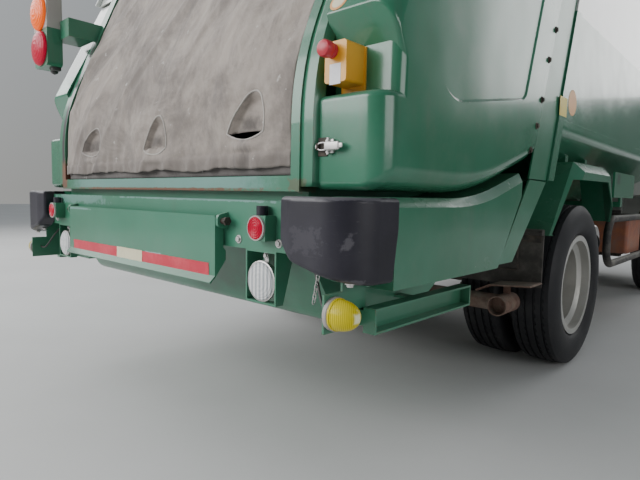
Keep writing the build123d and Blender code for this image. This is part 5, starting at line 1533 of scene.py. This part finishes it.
# %% Window rubbers and door handles
def rounded_outline(corners, radius, steps=8):
    """Points of a closed outline whose corners are rounded."""
    points = []
    count = len(corners)
    for index, corner in enumerate(corners):
        corner = Vector(corner)
        to_before = (Vector(corners[index - 1]) - corner).normalized()
        to_after = (Vector(corners[(index + 1) % count]) - corner).normalized()
        start, end = corner + to_before * radius, corner + to_after * radius
        for step in range(steps + 1):
            share = step / steps
            points.append(start.lerp(corner, share).lerp(corner.lerp(end, share), share))
    return points


def filled(points, gap=0.05):
    """The same closed outline with long runs divided."""
    result = []
    for index, point in enumerate(points):
        after = points[(index + 1) % len(points)]
        parts = max(1, int((after - point).length / gap))
        result += [point.lerp(after, part / parts) for part in range(parts)]
    return result


def add_seal(bm, corners, radius, names, direction, place_of, wire=0.009):
    """Rubber round a window, cast on the skin along a direction."""
    points = []
    for point in filled(rounded_outline(corners, radius)):
        place, _ = struck(names, place_of(point), direction)
        points.append(place)
    add_tube(bm, points, wire, 8, closed=True)


cab_skin = "cab_shell cab_glass"
windscreen = [(-0.884, 1.341), (0.884, 1.341), (0.854, 2.034), (-0.854, 2.034)]
back_window = [(-0.524, 1.476), (0.524, 1.476), (0.524, 1.904), (-0.524, 1.904)]
bm = bmesh.new()
add_seal(bm, windscreen, 0.10, cab_skin, (0, -1, 0), lambda p: (p.x, 4.0, p.y))
add_seal(bm, back_window, 0.06, cab_skin, (0, 1, 0), lambda p: (p.x, 0.6, p.y))
make_piece("cab_window_rubbers", bm, "bumper_rubber", "cab", sharp=80.0)
door_corners = [(1.566, 1.296), (1.566, 1.994), (2.298, 1.994), (2.459, 1.352), (2.459, 1.296)]
for side, sign in (("right", 1), ("left", -1)):
    bm = bmesh.new()
    add_seal(bm, door_corners, 0.035, f"door_{side} door_glass_{side}", (-sign, 0, 0),
             lambda p: (sign * 3.0, p.x, p.y), 0.008)
    make_piece(f"door_window_rubber_{side}", bm, "bumper_rubber", f"door_{side}", sharp=80.0)
    bm = bmesh.new()
    place, _ = struck(f"door_{side}", (sign * 3.0, 1.650, 1.130), (-sign, 0, 0))
    plate_half = Vector((0.002, 0.070, 0.028))
    grip_half = Vector((0.005, 0.058, 0.011))
    grip_middle = place + Vector((sign * 0.012, 0, 0))
    add_box(bm, place - plate_half, place + plate_half, 0.0015)
    add_box(bm, grip_middle - grip_half, grip_middle + grip_half, 0.004)
    make_piece(f"door_handle_{side}", bm, "black_plastic", f"door_{side}")

# %% [markdown]
# The wiper blades lie along the glass. Straight bars would sink into its curve, so
# every point of a blade is cast on the windscreen and joined by a thin tube.

# %% Wipers
blade_steps = 8
blade_low, blade_rise = 1.405, 0.045
bm = bmesh.new()
for pivot_x, tip_x in ((0.42, -0.12), (-0.30, -0.80)):
    blade = []
    for step in range(blade_steps + 1):
        share = step / blade_steps
        x = tip_x + (pivot_x - tip_x) * share * 1.02
        place, _ = from_front("cab_glass", x, blade_low + blade_rise * share)
        blade.append(place + Vector((0, 0.012, 0)))
    add_tube(bm, blade, 0.006, 6)
    base, _ = from_front("cab_shell", pivot_x + 0.05, 1.255)
    add_rod(bm, base - Vector((0, 0.004, 0)), base + Vector((0, 0.022, 0)), 0.016, 16)
    add_rod(bm, base + Vector((0, 0.018, 0)), blade[4] + Vector((0, 0.006, 0)), 0.007, 8, 0.004)
make_piece("wipers", bm, "black_plastic", "cab", sharp=50.0)

# %% [markdown]
# Mirror glass is a thin plate in its housing. Each headlamp is a ring round a ribbed
# dome, both turned about the lamp's axis like the rear ones, and the indicators are
# small amber mouldings with rounded edges.

# %% Mirror faces and front lamps
mirror_y, mirror_thickness = 2.6388, 0.0015
bm = bmesh.new()
add_box(bm, (1.054, mirror_y, 1.514), (1.186, mirror_y + mirror_thickness, 1.846), 0.0004, 1)
both_sides(bm)
make_piece("mirror_faces", bm, "mirror_face", "cab")

headlamp_ring = [(0, 0.036), (0, 0.047), (0.008, 0.046), (0.010, 0.042), (0.006, 0.037), (0, 0.036)]
ring = bmesh.new()
dome = bmesh.new()
for x in (0.700, 0.805):
    place, _ = from_front("headlamps", x, 0.785)
    place -= Vector((0, 0.004, 0))
    add_spun(ring, headlamp_ring, place, (0, 1, 0))
    add_spun(dome, dome_profile(0.038, 0.007, 0.003, 5, 0.0005), place, (0, 1, 0), 36)
both_sides(ring)
both_sides(dome)
make_piece("headlamp_rings", ring, "silver", "cab")
make_piece("headlamp_domes", dome, "lamp_glass", "cab", sharp=50.0)
bm = bmesh.new()
place, _ = from_front("cab_shell", 0.84, 0.925)
add_box(bm, place + Vector((-0.052, -0.012, -0.022)), place + Vector((0.052, 0.007, 0.022)), 0.005, 3)
both_sides(bm)
make_piece("front_indicators", bm, "amber_lens", "cab")

# %% [markdown]
# A seat is foam under stretched vinyl. A cloth simulation could swell it. These seats
# are only seen through glass, so the block gets crowned faces and shallow sewn channels
# by formula, its sides pull in a little between the corners, and one subdivision
# softens it.

# %% Padded seats
pad_cuts = 23
pad_smoothing = 1


def add_pad(bm, low, high, crown_height, channels):
    """Crowned pad between two corners, with sewn channels over its widest face."""
    low, high = Vector(low), Vector(high)
    middle, half = (low + high) / 2, (high - low) / 2
    before = set(bm.verts)
    bmesh.ops.create_cube(bm, size=2.0)
    verts = [vert for vert in bm.verts if vert not in before]
    edges = list({link for vert in verts for link in vert.link_edges})
    bmesh.ops.subdivide_edges(bm, edges=edges, cuts=pad_cuts, use_grid_fill=True)
    thin = min(range(3), key=lambda axis: half[axis])
    for vert in bm.verts:
        if vert in before:
            continue
        share = vert.co.copy()
        wide = [axis for axis in range(3) if axis != thin]
        bulge = (1 - share[wide[0]] ** 4) * (1 - share[wide[1]] ** 4)
        rounding = 1 - 0.05 * (abs(share[wide[0]]) ** 6 + abs(share[wide[1]]) ** 6)
        from_seam = (share.x * channels / 2 + 0.5) % 1 - 0.5
        channel = math.exp(-((from_seam / 0.07) ** 2))
        inside = max(abs(share[axis]) for axis in wide) < 0.86
        place = Vector(share[axis] * (half[axis] - crown_height * 0.5) for axis in range(3))
        place[thin] *= rounding
        place[thin] += math.copysign(1, share[thin]) * abs(share[thin]) * crown_height * (bulge - 0.5)
        if inside and abs(share[thin]) > 0.99:
            place[thin] -= math.copysign(0.005, share[thin]) * channel
        pull = 0.006 * (1 - abs(share[thin])) * max(abs(share[wide[0]]), abs(share[wide[1]])) ** 8
        for axis in wide:
            place[axis] -= math.copysign(pull, place[axis])
        vert.co = middle + place
    for _ in range(2):
        bmesh.ops.smooth_vert(bm, verts=[vert for vert in bm.verts if vert not in before], factor=0.5,
                              use_axis_x=True, use_axis_y=True, use_axis_z=True)


pads = []
for label, low_x, high_x, channels in (("driver", 0.220, 0.720, 4), ("double", -0.720, -0.020, 6)):
    bm = bmesh.new()
    add_pad(bm, (low_x, 1.560, 1.065), (high_x, 2.060, 1.240), 0.030, channels)
    pads.append(make_piece(f"seat_cushion_{label}", bm, "seat_vinyl", "cab", sharp=80.0))
    bm = bmesh.new()
    add_pad(bm, (low_x, 1.420, 1.130), (high_x, 1.575, 1.780), 0.030, channels)
    pads.append(make_piece(f"seat_back_{label}", bm, "seat_vinyl", "cab", sharp=80.0))
for pad in pads:
    soft_surface = pad.modifiers.new("soft_surface", "SUBSURF")
    soft_surface.levels = pad_smoothing
    soft_surface.render_levels = pad_smoothing
bm = bmesh.new()
for low_x, high_x in ((0.280, 0.660), (-0.660, -0.080)):
    add_box(bm, (low_x, 1.600, 0.880), (high_x, 2.000, 1.068), 0.008)
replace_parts(make_piece("seat_boxes", bm, "chassis_paint", "cab"), "seats")
